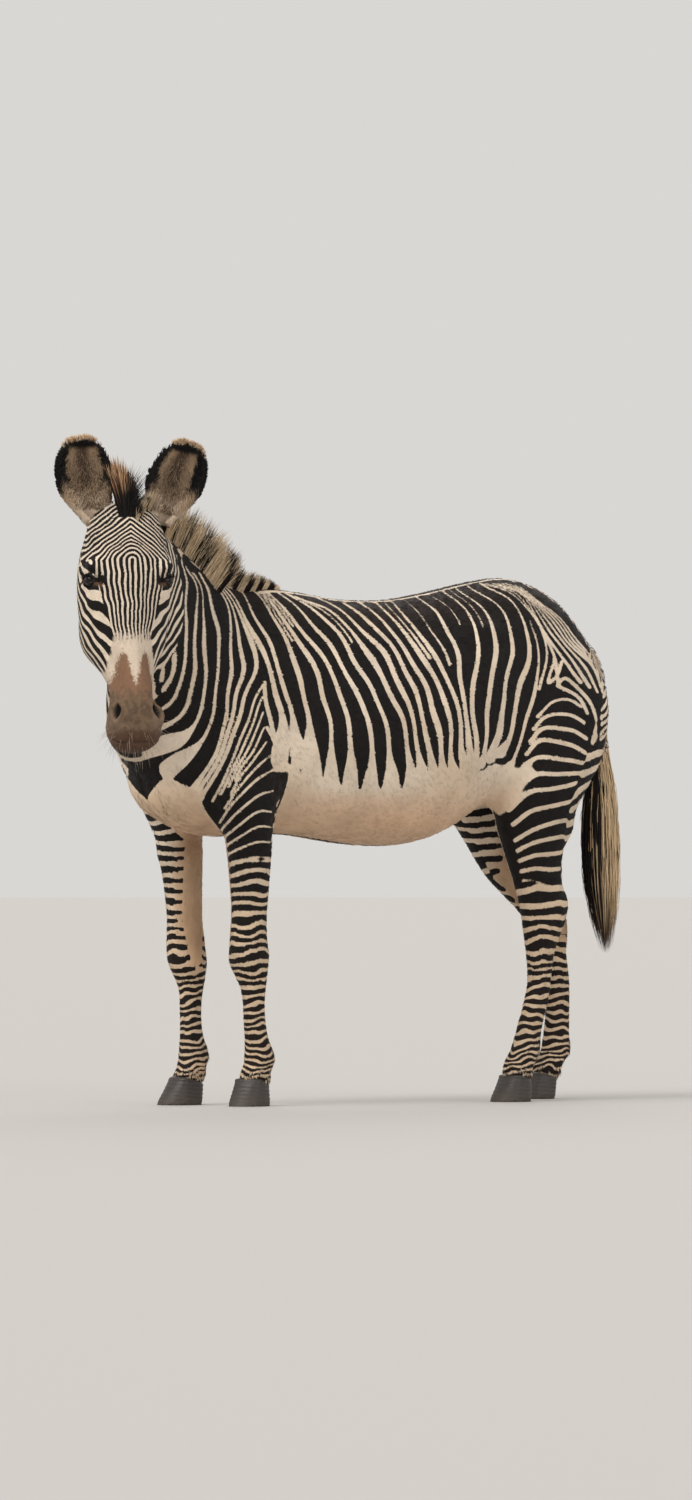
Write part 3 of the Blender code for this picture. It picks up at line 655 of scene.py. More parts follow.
def smooth_line(knots, spacing=0.3):
    """A soft curve through the knots, as points a few millimetres apart."""
    knots = np.array(knots, float)
    ends = np.vstack([2 * knots[0] - knots[1], knots, 2 * knots[-1] - knots[-2]])
    pieces = []
    for before, start, end, after in zip(ends, ends[1:], ends[2:], ends[3:]):
        count = max(int(np.linalg.norm(end - start) / spacing), 2)
        t = np.linspace(0, 1, count, endpoint=False)[:, None]
        turning = (2 * before - 5 * start + 4 * end - after) * t**2
        easing = (3 * start - before - 3 * end + after) * t**3
        pieces.append(0.5 * (2 * start + (end - before) * t + turning + easing))
    return np.vstack([*pieces, knots[-1:]])


def draw_line(plan, knots, half_width):
    """Lays one line: the plan keeps how far inside a pale line each cell is."""
    for at in smooth_line(knots):
        width = half_width(*at)
        reach = int((width + PLAN_MARGIN) / PLAN_CELL)
        column, row = ((at - PLAN_LOW) / PLAN_CELL).astype(int)
        left, low = max(column - reach, 0), max(row - reach, 0)
        window = plan[left:column + reach, low:row + reach]
        u = PLAN_LOW[0] + PLAN_CELL * np.arange(left, left + window.shape[0])[:, None] - at[0]
        v = PLAN_LOW[1] + PLAN_CELL * np.arange(low, low + window.shape[1])[None, :] - at[1]
        np.maximum(window, width - np.hypot(u, v), out=window)


def neck_width(u, z):
    throat = float(smoothstep(110, 102, z) * smoothstep(-49, -59, u))
    return 0.33 + 0.27 * float(smoothstep(148, 130, z)) + 2.2 * throat


def shoulder_width(u, z):
    return 0.30 + 0.15 * float(smoothstep(-29, -35, u))


def barrel_width(u, z):
    belly = 92 + 10 * float(smoothstep(-8, -25, u)) + 4 * float(smoothstep(26, 38, u))
    back = float(smoothstep(147, 128, z))
    low = float(smoothstep(belly + 11, belly - 2, z))
    return 0.30 + 0.45 * back + 1.6 * low + 2.5 * float(smoothstep(belly, 84, z))


def rump_width(u, z):
    return 0.24 + 0.35 * float(smoothstep(148, 118, z)) - 0.12 * float(smoothstep(58, 66, u))


def thigh_width(u, z):
    return 0.42 + 0.28 * float(smoothstep(122, 105, z))


def lines_between(guides, more):
    """The guides, smoothed and cut into 24 even steps, with `more` lines between each and the next."""
    even = []
    for knots in guides:
        curve = smooth_line(knots)
        even.append(curve[np.linspace(0, len(curve) - 1, 25).astype(int)])
    lines = [start + (end - start) * k / (count + 1)
             for start, end, count in zip(even, even[1:], more) for k in range(count + 1)]
    return [*lines, even[-1]]


barrel_lines = lines_between(BARREL_GUIDES, BARREL_MORE)
forks = [((barrel_lines[k] + barrel_lines[k + 1]) / 2)[:int(25 * share)] for k, share in FORKS]
barrel_lines = [np.vstack([line, [(line[-1, 0], 90), (line[-1, 0], 83)]]) if line[-1, 1] < 97 else line
                for line in barrel_lines]
plan = np.full(((PLAN_HIGH - PLAN_LOW) / PLAN_CELL).astype(int), -PLAN_MARGIN)
for lines, width in ((lines_between(NECK_GUIDES, NECK_MORE), neck_width),
                     (lines_between(SHOULDER_GUIDES, SHOULDER_MORE), shoulder_width),
                     (barrel_lines, barrel_width), (forks, rump_width),
                     (lines_between(RUMP_GUIDES, RUMP_MORE), rump_width),
                     (lines_between(THIGH_GUIDES, THIGH_MORE), thigh_width), (SINGLE_LINES, rump_width)):
    for knots in lines:
        draw_line(plan, knots, width)
print("plan of the flank:", plan.shape, "pale share", round(float((plan > 0).mean()), 3))

# %% [markdown]
# ## Carrying the plan onto both sides
# The plan is laid straight onto the left side. The right side takes it mirrored over the animal's own
# middle, which bends with the neck, and nudged by a few slow waves, because no zebra matches on both
# sides. Where the hide turns away from the plan, the lines are left for the growing step to finish.

# %% Middle of the bent neck, slow noise, and the plan on both sides
dice = np.random.default_rng(7)


def slow_noise(where, size, waves=24):
    """A smooth random value, about one wave per `size` metres, between roughly -1 and 1."""
    directions = dice.normal(size=(waves, 3))
    directions /= np.linalg.norm(directions, axis=1, keepdims=True)
    speeds = 2 * np.pi / size * dice.uniform(0.6, 1.4, waves)
    phases = dice.uniform(0, 2 * np.pi, waves)
    return np.cos(where @ (directions.T * speeds) + phases).sum(1) * math.sqrt(2 / waves) / 1.4


body = in_body(points)
normals = normals_of(points)
soft_normals = spread(normals, 12)
soft_normals /= np.linalg.norm(soft_normals, axis=1, keepdims=True)


def bend_terms(where):
    y, z = where[:, 1], where[:, 2]
    return np.stack([np.ones_like(y), y, z, y * y, y * z, z * z], 1)


neck_points = is_part["neck"]
bend, *_ = np.linalg.lstsq(bend_terms(body[neck_points]), body[neck_points, 0], rcond=None)
is_neck = share_of(("neck", "head", "ear_left", "ear_right"), 40)
middle = is_neck * (bend_terms(body) @ bend)
off_middle = body[:, 0] - middle
hand = np.where(off_middle >= 0, 1.0, -1.0)
mirrored = body.copy()
mirrored[:, 0] = middle + abs(off_middle)
toward_plan = np.array([math.sin(VIEW_TURN), -math.cos(VIEW_TURN), 0.0])
mirrored_normals = soft_normals * np.stack([hand, np.ones_like(hand), np.ones_like(hand)], 1)
sees_plan = smoothstep(0.10, 0.30, mirrored_normals @ toward_plan)
along = 100 * (mirrored[:, 0] * math.cos(VIEW_TURN) + mirrored[:, 1] * math.sin(VIEW_TURN))
height = 100 * body[:, 2]
other_side = smoothstep(0, 0.05, -off_middle)
along += 0.45 * slow_noise(body, 0.16)
along += other_side * (1.5 * slow_noise(body, 0.5) + 0.8 * slow_noise(body, 0.2))
height += other_side * 1.5 * slow_noise(body, 0.5)
cell = ((np.stack([along, height], 1) - PLAN_LOW) / PLAN_CELL).clip(0, np.array(plan.shape) - 1.001)
corner = cell.astype(int)
part = cell - corner
inside_line = (plan[corner[:, 0], corner[:, 1]] * (1 - part[:, 0]) * (1 - part[:, 1])
               + plan[corner[:, 0] + 1, corner[:, 1]] * part[:, 0] * (1 - part[:, 1])
               + plan[corner[:, 0], corner[:, 1] + 1] * (1 - part[:, 0]) * part[:, 1]
               + plan[corner[:, 0] + 1, corner[:, 1] + 1] * part[:, 0] * part[:, 1])
plan_start = np.interp(height, (105, 118, 157), (-90, -60.5, -60.5))
plan_end = np.interp(height, (60, 80, 88, 92, 100, 107, 120, 140, 152),
                     (53, 54.5, 56.5, 58, 61, 63, 66, 59, 45))
sees_plan *= smoothstep(-1.0, 1.0, along - plan_start) * smoothstep(1.0, -1.0, along - plan_end)
print("share of the hide that the plan covers well:", round(float((sees_plan > 0.5).mean()), 2))

# %% [markdown]
# ## The face
# Fine lines wrap the forehead in nested arches, run straight down the nose and close in on each other
# until they fade above the muzzle. The arches are rings of one distance: round near the middle of the
# forehead and pointed further out. Under each eye broad bars slope down to the nose and carry on over the
# cheek.

# %% Lines of the face as one phase, in turns
ARCH_TOP = 1.548
ARCH_WIDE = 0.0155
ARCH_HIGH = 0.0126
CHEEK_SPACING = 0.041
CHEEK_START = 0.14


def face_phase(x, z):
    """How many pale lines lie between the middle of the forehead and this point."""
    wide = abs(x) / ARCH_WIDE
    high = (z - ARCH_TOP).clip(0) / ARCH_HIGH
    pointed = 1.90 - 0.82 * smoothstep(1.0, 5.0, np.hypot(wide, high))
    above = (wide**pointed + high**pointed) ** (1 / pointed)
    below = abs(x) / np.interp(z, (1.34, 1.50, 1.548), (0.0100, 0.0152, ARCH_WIDE))
    return np.where(z > ARCH_TOP, above, below)


head = in_head(points)
z = points[:, 2]
across = abs(head[:, 0])
faces_front = soft_normals @ facing
cheek_edge = 0.050 + 0.27 * (z - 1.31)
side_reach = across + 0.35 * (head[:, 1] - 0.03).clip(0)
cheek_top = z + 0.15 * (head[:, 1] - 0.06)
cheek = smoothstep(-0.003, 0.003, side_reach - cheek_edge) * smoothstep(1.545, 1.525, cheek_top)
face_x = head[:, 0] + 0.0015 * slow_noise(points, 0.05)
face_turns = face_phase(face_x, z + 0.002 * slow_noise(points, 0.06))
down_cheek = 0.57 * across + 0.10 * head[:, 1] + 0.95 * (head[:, 1] - 0.075).clip(0) - 0.82 * z
cheek_turns = (down_cheek + 0.005 * slow_noise(points, 0.07)) / CHEEK_SPACING
turns = np.where(cheek > 0.5, cheek_turns - CHEEK_START, face_turns)
face_lines = -0.30 - np.cos(2 * np.pi * turns)
behind_eye = (head[:, 1] - 0.055).clip(0)
from_patch = ((across - 0.104) / 0.020) ** 2 + ((z - 1.449) / 0.0125) ** 2 + (behind_eye / 0.030) ** 2
under_eye = smoothstep(1.25, 0.85, np.sqrt(from_patch))
print("face lines on", int((on_head > 0.5).sum()), "points")

# %% [markdown]
# ## The legs
# Bars ring the legs, four centimetres apart on the thigh and little over one at the pastern. They waver,
# more and more the lower they are. The inside of the thighs and forearms is left plain.

# %% Bars of the legs as a phase that quickens towards the foot
BAR_HEIGHTS = (0.0, 0.10, 0.20, 0.45, 0.60, 0.80, 1.00)
BAR_SPACING_FORE = (0.013, 0.015, 0.021, 0.026, 0.030, 0.033, 0.033)
BAR_SPACING_HIND = (0.014, 0.016, 0.023, 0.030, 0.040, 0.046, 0.046)


def bar_turns(height, spacing):
    fine_heights = np.linspace(0, 1.2, 600)
    rate = 1 / np.interp(fine_heights, BAR_HEIGHTS, spacing)
    turns = np.concatenate([[0], np.cumsum((rate[1:] + rate[:-1]) / 2 * np.diff(fine_heights))])
    return np.interp(height, fine_heights, turns)


hind = body[:, 1] > 0.02
hind_tilt = 0.34 * smoothstep(0.68, 0.86, z) * (body[:, 1] - 0.62)
tilt = np.where(hind, hind_tilt, 0.10 * (body[:, 1] + 0.58))
waver = 0.007 * slow_noise(points, 0.12) + 0.004 * slow_noise(points, 0.05) * smoothstep(0.7, 0.3, z)
bar_height = z - tilt + waver
fore_turns = bar_turns(bar_height, BAR_SPACING_FORE)
leg_turns = np.where(hind, bar_turns(bar_height, BAR_SPACING_HIND), fore_turns)
leg_lines = np.cos(2 * np.pi * leg_turns) - 0.40
inward = -soft_normals[:, 0] * hand
print("bars between floor and knee:", round(float(bar_turns(0.45, BAR_SPACING_FORE)), 1))

# %% [markdown]
# ## First state of the pattern
# Every point gets a value from -1, black, to 1, pale. The flank's plan, the face, the legs, the fine
# lines of the rump and the plain belly are put together here, with how firmly each is held. Where nothing
# holds it, the next step decides.

# %% Put the pattern together
def blend(values, other, share):
    return values * (1 - share) + other * share


def bars(distance, spacing):
    """1 in the middle of each pale line and -1 halfway to the next."""
    return np.cos(2 * np.pi * distance / spacing)


def lay(lines, share, hold):
    """Lays lines over the pattern where `share` says, held at least as firmly as `hold`."""
    global first, held
    first = blend(first, lines, share)
    held = np.maximum(held, hold)


part_share = {name: share_of((name,), 6) for name in FLESH}
on_tail = part_share["tail_dock"]
head_share = part_share["head"]
leg_share = np.where(hind, smoothstep(0.66, 0.60, z),
                     smoothstep(0.04, 0.0, z - 0.68 - 0.14 * smoothstep(0, -0.04, off_middle)))
belly_edge = 0.905 + 0.12 * smoothstep(-0.34, -0.54, body[:, 1])
belly_edge += 0.080 * smoothstep(0.02, 0.24, body[:, 1])
belly_edge += 0.006 * slow_noise(points, 0.04)
under = smoothstep(0.02, -0.03, z - belly_edge)
under *= 1 - smoothstep(0.28, 0.36, body[:, 1] - 0.5 * (z - 0.85))
under *= smoothstep(-0.565, -0.530, body[:, 1] + 0.4 * (0.86 - z).clip(0))
in_foreleg = (smoothstep(0.12, 0.10, abs(body[:, 1] + 0.585)) * smoothstep(0.075, 0.095, abs(body[:, 0]))
              * smoothstep(0.98, 0.93, z))
under *= 1 - in_foreleg
chest_side = abs(body[:, 0])
above_chest = z - 0.875 - 0.70 * chest_side.clip(0, 0.10) + (chest_side - 0.10).clip(0)
chest = smoothstep(0.01, -0.01, chest_side - 0.10 - 0.5 * (z - 0.80).clip(-0.05))
chest = chest * smoothstep(0.012, -0.012, above_chest) * smoothstep(-0.40, -0.46, body[:, 1])
inner = smoothstep(0.15, 0.55, inward) * smoothstep(0.40, 0.52, z) * smoothstep(1.05, 0.95, z)
inner *= 1 - head_share
inner *= smoothstep(-0.02, 0.05, body[:, 1] - np.where(hind, 0.50, -0.66))
pale = np.clip(under + chest + inner, 0, 1) * (1 - head_share) * (1 - part_share["neck"])

UPRIGHT_SPACING = 0.050
NECK_SPACING = 0.042
BUTTOCK_SPACING = 0.036
POLL_SPACING = 0.024
TAIL_SPACING = 0.018
ALONG_NECK = np.array([0.24, -0.62, 0.35])
behind = smoothstep(0.2, 0.5, soft_normals[:, 1]) * (body[:, 1] > 0.35)
behind = np.maximum(behind, smoothstep(0.46, 0.58, body[:, 1]) * smoothstep(1.14, 1.22, z))
upright = bars(body[:, 1] + 0.004 * slow_noise(points, 0.1), UPRIGHT_SPACING)
on_neck = bars(along + 0.5 * slow_noise(points, 0.12), 4.0)
buttock_height = z + 0.9 * abs(body[:, 0]) + 0.006 * slow_noise(points, 0.1)
buttock = bars(buttock_height / BUTTOCK_SPACING + 18 * (buttock_height - 1.20).clip(0), 1)
unseen = blend(np.where(is_neck > 0.3, on_neck, upright), buttock, behind)
low_thigh = smoothstep(1.10, 1.00, z) * (body[:, 1] > 0.33)
unseen = blend(unseen, leg_lines, low_thigh)
first = np.clip((inside_line - 0.08) / 0.55, -1, 1)
held = sees_plan * (1 - head_share) * (1 - leg_share)
first = first * held + (1 - held) * 0.9 * unseen
lay(leg_lines, leg_share, 0.55 * leg_share)
face_hold = np.maximum(0.78 * (cheek > 0.5), 0.55 + 0.25 * smoothstep(0.2, 0.4, faces_front))
lay(face_lines, head_share, head_share * face_hold)
held = np.maximum(held, 0.75 * behind * (1 - sees_plan) * (1 - leg_share) * (1 - low_thigh))
far_neck = part_share["neck"] * smoothstep(0.01, -0.03, off_middle) * smoothstep(-0.50, -0.58, body[:, 1])
up_neck = body @ (ALONG_NECK / np.linalg.norm(ALONG_NECK))
neck_rings = bars(up_neck + 0.004 * slow_noise(points, 0.10), NECK_SPACING) - 0.35
first = blend(first, neck_rings, far_neck)
held = np.maximum(held * (1 - far_neck), 0.6 * far_neck)
back_of_head = head_share * smoothstep(0.100, 0.120, head[:, 1] + 0.008 * slow_noise(points, 0.04))
back_of_head *= smoothstep(1.50, 1.54, z)
poll_rings = bars(head[:, 1] - 0.4 * (z - 1.6) + 0.003 * slow_noise(points, 0.06), POLL_SPACING) - 0.25
first = blend(first, poll_rings, back_of_head)
held *= 1 - 0.5 * smoothstep(0.05, 0.5, back_of_head) * smoothstep(1.0, 0.6, back_of_head)
held = np.maximum(held, 0.6 * smoothstep(0.6, 1.0, back_of_head))
elbow = smoothstep(0.98, 0.93, z) * smoothstep(0.09, 0.06, abs(body[:, 1] + 0.55))
elbow *= (1 - sees_plan) * (z > 0.6)
lay(leg_lines, elbow, 0.55 * elbow)
lay(bars(z, TAIL_SPACING) - 0.1, on_tail, 0.8 * on_tail)
first = blend(np.maximum(first, -1), 1, pale)
lay(1, under_eye * head_share, under_eye * head_share)
held = np.maximum(held * (1 - pale), smoothstep(0.6, 0.95, pale))

off_spine = abs(off_middle)
on_top = smoothstep(0.35, 0.6, soft_normals[:, 2]) * smoothstep(-0.47, -0.40, body[:, 1])
on_top *= (1 - leg_share) * (z > 1.25)
rump_top = smoothstep(0.62, 0.72, body[:, 1]) * smoothstep(0.08, 0.05, abs(body[:, 0])) * (z > 1.05)
on_back = np.maximum(on_top, rump_top)
dorsal = on_back * smoothstep(0.024, 0.019, off_spine)
edging = on_back * smoothstep(0.019, 0.024, off_spine) * smoothstep(0.036, 0.031, off_spine)
first = first * (1 - dorsal - edging) - dorsal + edging
held = np.maximum(held, dorsal + edging)

ventral = under * smoothstep(0.020, 0.014, abs(body[:, 0])) * smoothstep(-0.6, -0.8, soft_normals[:, 2])
first = first * (1 - ventral) - ventral
pale = pale * (1 - ventral)
# Spacing that the growing step aims for, in metres from one pale line to the next.
spacing = 0.060 - 0.018 * smoothstep(1.30, 1.45, z)
spacing = np.where(is_part["neck"], 0.040, spacing)
shoulder_zone = smoothstep(-0.42, -0.52, body[:, 1]) * smoothstep(1.30, 1.15, z)
rump_zone = smoothstep(0.48, 0.60, body[:, 1]) * smoothstep(1.16, 1.24, z)
thigh_zone = smoothstep(0.35, 0.45, body[:, 1]) * smoothstep(1.20, 1.12, z)
for zone, zone_spacing in ((shoulder_zone, 0.032), (rump_zone, 0.020), (thigh_zone, 0.046)):
    spacing = blend(spacing, zone_spacing, zone)
fore_spacing = np.interp(z, BAR_HEIGHTS, BAR_SPACING_FORE)
hind_spacing = np.interp(z, BAR_HEIGHTS, BAR_SPACING_HIND)
spacing = np.where(leg_share > 0.5, np.where(hind, hind_spacing, fore_spacing), spacing)
head_spacing = np.where(cheek > 0.5, CHEEK_SPACING, np.where(back_of_head > 0.5, POLL_SPACING, 0.0140))
spacing = np.where(head_share > 0.5, head_spacing, spacing)
spacing = spread(spacing, 10)
held_firmly, left_to_grow = (held > 0.5).mean(), (held < 0.1).mean()
print("held firmly:", round(float(held_firmly), 2), "left to grow:", round(float(left_to_grow), 2))

# %% [markdown]
# ## Growing the stripes
# Stripes form in the embryo where a short-range push and a longer-range pull between cells balance out.
# The same rule is run here: each point takes the difference between a narrow and a wide average of its
# surroundings, both as wide as the local spacing asks. It closes the seams between the parts, forks lines
# where they spread too far, and carries them over the places that no plan covers.

# %% Let each point follow its surroundings
WIDE_STEPS = 44
WIDE_SHARE = 0.30
CONTRAST = 5.0
ROUNDS = 14
near32 = near.astype(np.int32)
step_area = ((points[near] - points[:, None]) ** 2).sum(2).mean(1)
wide_rate = np.minimum((WIDE_SHARE * spacing) ** 2 * 2 / (WIDE_STEPS * step_area), 1).astype(np.float32)


def narrow_and_wide(values):
    wide = values.astype(np.float32)
    for step in range(WIDE_STEPS):
        if step == WIDE_STEPS // 4:
            narrow = wide.copy()
        wide += wide_rate * (wide[near32].mean(1) - wide)
    return narrow, wide


lean_black = -0.15 * (1 - leg_share) * (1 - head_share) - 0.05 - 0.28 * leg_share
lean = lean_black + 1.6 * pale * (1 - held)
stripe = first.astype(np.float32)
for _ in range(ROUNDS):
    narrow, wide = narrow_and_wide(stripe)
    grown = np.tanh(CONTRAST * (narrow - wide) + lean)
    stripe = (held * first + (1 - held) * grown).astype(np.float32)
sharp = np.clip(held * 1.2, 0, 1) * (1 - head_share) * (1 - leg_share)
stripe = blend(stripe, first, sharp)
print("stripes grown; black share", round(float((stripe < 0).mean()), 2))

# %% [markdown]
# ## Colours of the coat
# Black and white is only the first impression. The pale hair is cream, peach low on the belly and chest
# (partly their own tone, partly painted warm light from the ground and painted shade under the body),
# dusty on the legs and darker inside them (partly dust, partly painted shade between the legs), and the
# black is a very dark brown. The nose is cream above, with two rust patches that run together into a
# grey-brown muzzle.
# Each point gets the colour of its pale hair and of its dark hair; the stripe value later picks one.

# %% Colours, written as they look and turned to linear light
def linear(hex_colour):
    values = [int(hex_colour[i:i + 2], 16) / 255 for i in (0, 2, 4)]
    return np.array([v / 12.92 if v <= 0.04045 else ((v + 0.055) / 1.055) ** 2.4 for v in values])


def opaque(hex_colour):
    return *linear(hex_colour), 1


CREAM = linear("EAD9C4")
PEACH_AND_GROUND_LIGHT = linear("D9AE88")
DUSTY = linear("D8BC9C")
SOOT = linear("120D0B")
BROWN_BLACK = linear("211611")
NOSE_CREAM = linear("DCCAB6")
RUST = linear("8A6850")
MUZZLE = linear("735D48")
MUZZLE_DARK = linear("3B2A23")
LIP_GREY = linear("8A7360")
CHIN_BROWN = linear("523628")
EAR_TAN = linear("B4987C")
EAR_HOLLOW_SHADE = linear("3C2A1F")
EAR_ROOT = linear("C9B39C")
NEAR_BLACK = linear("0E0A09")


def tint(colour, target, share):
    share = np.clip(share, 0, 1)[:, None]
    return colour * (1 - share) + target * share


def tint_both(colour, share):
    global pale_hair, dark_hair
    pale_hair = tint(pale_hair, colour, share)
    dark_hair = tint(dark_hair, colour, share)


count = len(points)
pale_hair = np.tile(CREAM, (count, 1))
dark_hair = np.tile(SOOT, (count, 1))
low = 1 - head_share
pale_hair = tint(pale_hair, DUSTY, 0.75 * smoothstep(0.85, 0.35, z) * low)
# Peach low on the belly and chest: partly the hair's own tone, partly painted warm ground light and
# painted shade under the body.
pale_hair = tint(pale_hair, PEACH_AND_GROUND_LIGHT, 0.75 * pale * smoothstep(0.98, 0.80, z) * low)
# Darker dusty brown inside the legs: partly dust, partly painted shade between the legs.
pale_hair = tint(pale_hair, linear("A38468"), 0.8 * inner)
pale_hair = tint(pale_hair, DUSTY, 0.35 * (0.5 + 0.5 * slow_noise(points, 0.25)) * low)
browned = smoothstep(0.5, 0.9, soft_normals[:, 2]) * low + 0.6 * smoothstep(0.6, 0.2, z)
dark_hair = tint(dark_hair, BROWN_BLACK, browned)
dark_hair = tint(dark_hair, BROWN_BLACK, dorsal)

side = abs(head[:, 0])
nose_edge = z + 0.009 * slow_noise(points, 0.010)
nose_side = np.interp(z, (1.17, 1.28, 1.34), (0.085, 0.061, 0.051)) + 0.002 * slow_noise(points, 0.012)
nose = head_share * smoothstep(1.350, 1.316, nose_edge) * smoothstep(0.003, -0.003, side - nose_side)
lobes = np.interp(z, (1.16, 1.20, 1.225, 1.25, 1.275, 1.292), (0.060, 0.030, 0.021, 0.016, 0.010, -0.004))
inside_lobe = lobes - abs(side - 0.031) + 0.004 * slow_noise(points, 0.01)
rust = head_share * smoothstep(-0.006, 0.005, inside_lobe)
rust *= smoothstep(1.31, 1.29, z) * smoothstep(0.075, 0.060, side)
muzzle = head_share * smoothstep(1.192, 1.150, z + 0.01 * slow_noise(points, 0.02))
lips = muzzle * smoothstep(0.034, 0.056, side + 0.006 * slow_noise(points, 0.02))
lips *= smoothstep(1.125, 1.095, z)
below_nostril = np.exp(-(((side - 0.03) / 0.02) ** 2 + ((z - 1.115) / 0.02) ** 2))
mottled = muzzle * smoothstep(-0.1, 0.9, slow_noise(points, 0.016) + 1.2 * below_nostril)
chin = muzzle * smoothstep(1.075, 1.050, z)
for colour, share in ((NOSE_CREAM, nose), (RUST, rust), (MUZZLE, muzzle), (MUZZLE_DARK, 0.35 * mottled),
                      (LIP_GREY, 0.75 * lips), (CHIN_BROWN, 0.75 * chin)):
    tint_both(colour, share)
print("muzzle points:", int((muzzle > 0.5).sum()))

# %% [markdown]
# ## Eyes, nostrils and ears in colour
# The skin round the eyes and inside the nostrils is bare and nearly black, and brown on the lower lid.
# The big round ears are tan inside, with painted shade in their hollow, rimmed with black, and behind
# they are black with a pale tip.

# %% Dark rims, pale patches and the ears' sides
EAR_BANDS = 20
around_eye = smoothstep(1.60, 1.35, lid_share + 0.12 * slow_noise(points, 0.012)) * head_share
lower_lid = smoothstep(1.95, 1.55, lid_share) * smoothstep(1.487, 1.481, z) * head_share
pale_hair = tint(pale_hair, NEAR_BLACK * 1.8, around_eye)
dark_hair = tint(dark_hair, NEAR_BLACK, around_eye)
for_lid = lower_lid * smoothstep(1.08, 1.25, lid_share)
pale_hair = tint(pale_hair, linear("6A4F3C"), for_lid)
dark_hair = tint(dark_hair, linear("5C4331"), for_lid)
around_nostril = smoothstep(1.15, 0.80, nostril_share) * head_share


def per_band(mask, band, values, measure, empty):
    """One measure of the masked values in each of the bands that an ear's height is cut into."""
    chosen = [values[mask & (band == k)] for k in range(EAR_BANDS)]
    return np.array([measure(those) if len(those) else empty for those in chosen])


band_middles = (np.arange(EAR_BANDS) + 0.5) / EAR_BANDS
ear_axes = {}
ear_rim = np.zeros(count)
for name in ("ear_left", "ear_right"):
    mask = is_part[name]
    ear_points = points[mask]
    low_end = ear_points[ear_points[:, 2] < np.quantile(ear_points[:, 2], 0.06)].mean(0)
    high_end = ear_points[ear_points[:, 2] > np.quantile(ear_points[:, 2], 0.985)].mean(0)
    length = np.linalg.norm(high_end - low_end)
    rise = (high_end - low_end) / length
    opening = facing - (facing @ rise) * rise
    opening /= np.linalg.norm(opening)
    wide_way = np.cross(rise, opening)
    ear_axes[name] = (low_end, rise, opening, wide_way, length)
    share = part_share[name]
    up_ear = (points - low_end) @ rise / length
    out_ear = (points - low_end) @ wide_way
    band = np.clip((up_ear * EAR_BANDS).astype(int), 0, EAR_BANDS - 1)
    centre = per_band(mask, band, out_ear, np.mean, 0.0)
    reach = per_band(mask, band, abs(out_ear - centre[band]), np.max, 0.04)
    from_middle = abs(out_ear - np.interp(up_ear, band_middles, centre))
    from_middle = from_middle / np.interp(up_ear, band_middles, reach)
    inner_side = smoothstep(-0.15, 0.25, soft_normals @ opening)
    side_rim = smoothstep(0.58, 0.70, from_middle + 0.05 * slow_noise(points, 0.02))
    rim = np.maximum(side_rim * smoothstep(0.20, 0.45, up_ear), smoothstep(0.86, 0.93, up_ear))
    # Painted shade darkens the middle of the ear's hollow, where the cup lies in shade.
    hollow = smoothstep(0.45, 0.10, from_middle) * smoothstep(0.18, 0.45, up_ear)
    inside = tint(tint(EAR_TAN, EAR_HOLLOW_SHADE, hollow * 0.85), EAR_ROOT, smoothstep(0.30, 0.08, up_ear))
    inside = tint(inside, NEAR_BLACK, rim)
    white_tip = smoothstep(0.84, 0.92, up_ear + 0.03 * slow_noise(points, 0.008))
    low_bars = smoothstep(0.30, 0.22, up_ear) * (np.sin(up_ear * 130) > 0)
    back = tint(NEAR_BLACK, CREAM, np.maximum(white_tip, low_bars))
    ear_rim = np.maximum(ear_rim, rim * share)
    tint_both(tint(back, inside, inner_side), share)
tint_both(NEAR_BLACK, around_nostril)
print("ears run", [round(float(axes[4]), 3) for axes in ear_axes.values()], "m from root to tip")

# %% [markdown]
# ## Writing the shape and the markings to the mesh
# The points go back to the hide, and the stripe value and the two colours ride on them as attributes,
# which every material can read.

# %% Hide mesh with its attributes
def write_attribute(mesh, name, kind, values):
    made = mesh.attributes.new(name, kind, "POINT")
    if kind == "FLOAT_COLOR":
        values = np.concatenate([values, np.ones((len(values), 1))], 1)
    field = "value" if kind == "FLOAT" else "color"
    made.data.foreach_set(field, values.astype(np.float32).ravel())


def write_markings(mesh, stripe_values, pale, dark, strand):
    write_attribute(mesh, "stripe", "FLOAT", stripe_values)
    write_attribute(mesh, "pale_hair", "FLOAT_COLOR", pale)
    write_attribute(mesh, "dark_hair", "FLOAT_COLOR", dark)
    write_attribute(mesh, "strand", "FLOAT", strand)


# The hide takes the painted shade found this share of the way up a hair.
HIDE_STRAND = 0.35
hide.data.name = "hide"
hide.data.vertices.foreach_set("co", points.astype(np.float32).ravel())
hide.data.update()
hide.data.shade_smooth()
write_markings(hide.data, stripe, pale_hair, dark_hair, np.full(count, HIDE_STRAND))
print("attributes:", [a.name for a in hide.data.attributes if not a.name.startswith(".")])

# %% [markdown]
# ## Short striped hair
# A zebra's summer coat is short, close hair, a centimetre long, laid flat. Keratin has an index near 1.55
# and the scales on each hair scatter light, so it is matt with a faint sheen at the edges. Two noises, as
# wide as single locks, fray the borders of the stripes the way crossing hairs do, and a fine bump stands
# for the hairs.

# %% Nodes, and the striped coat
def feed(tree, made, inputs):
    """Gives each of a node's inputs its source or its plain value."""
    for key, source in inputs.items():
        if isinstance(source, bpy.types.NodeSocket):
            tree.links.new(source, made.inputs[key])
        else:
            made.inputs[key].default_value = source


def node(tree, kind, inputs, **settings):
    made = tree.nodes.new(kind)
    for key, value in settings.items():
        setattr(made, key, value)
    feed(tree, made, inputs)
    return made


def attribute(tree, name, output="Color"):
    return node(tree, "ShaderNodeAttribute", {}, attribute_name=name).outputs[output]


def noise(tree, place, scale, detail):
    inputs = {"Vector": place, "Scale": scale, "Detail": detail}
    return node(tree, "ShaderNodeTexNoise", inputs).outputs["Fac"]


def maths(tree, operation, *values):
    return node(tree, "ShaderNodeMath", dict(enumerate(values)), operation=operation).outputs[0]


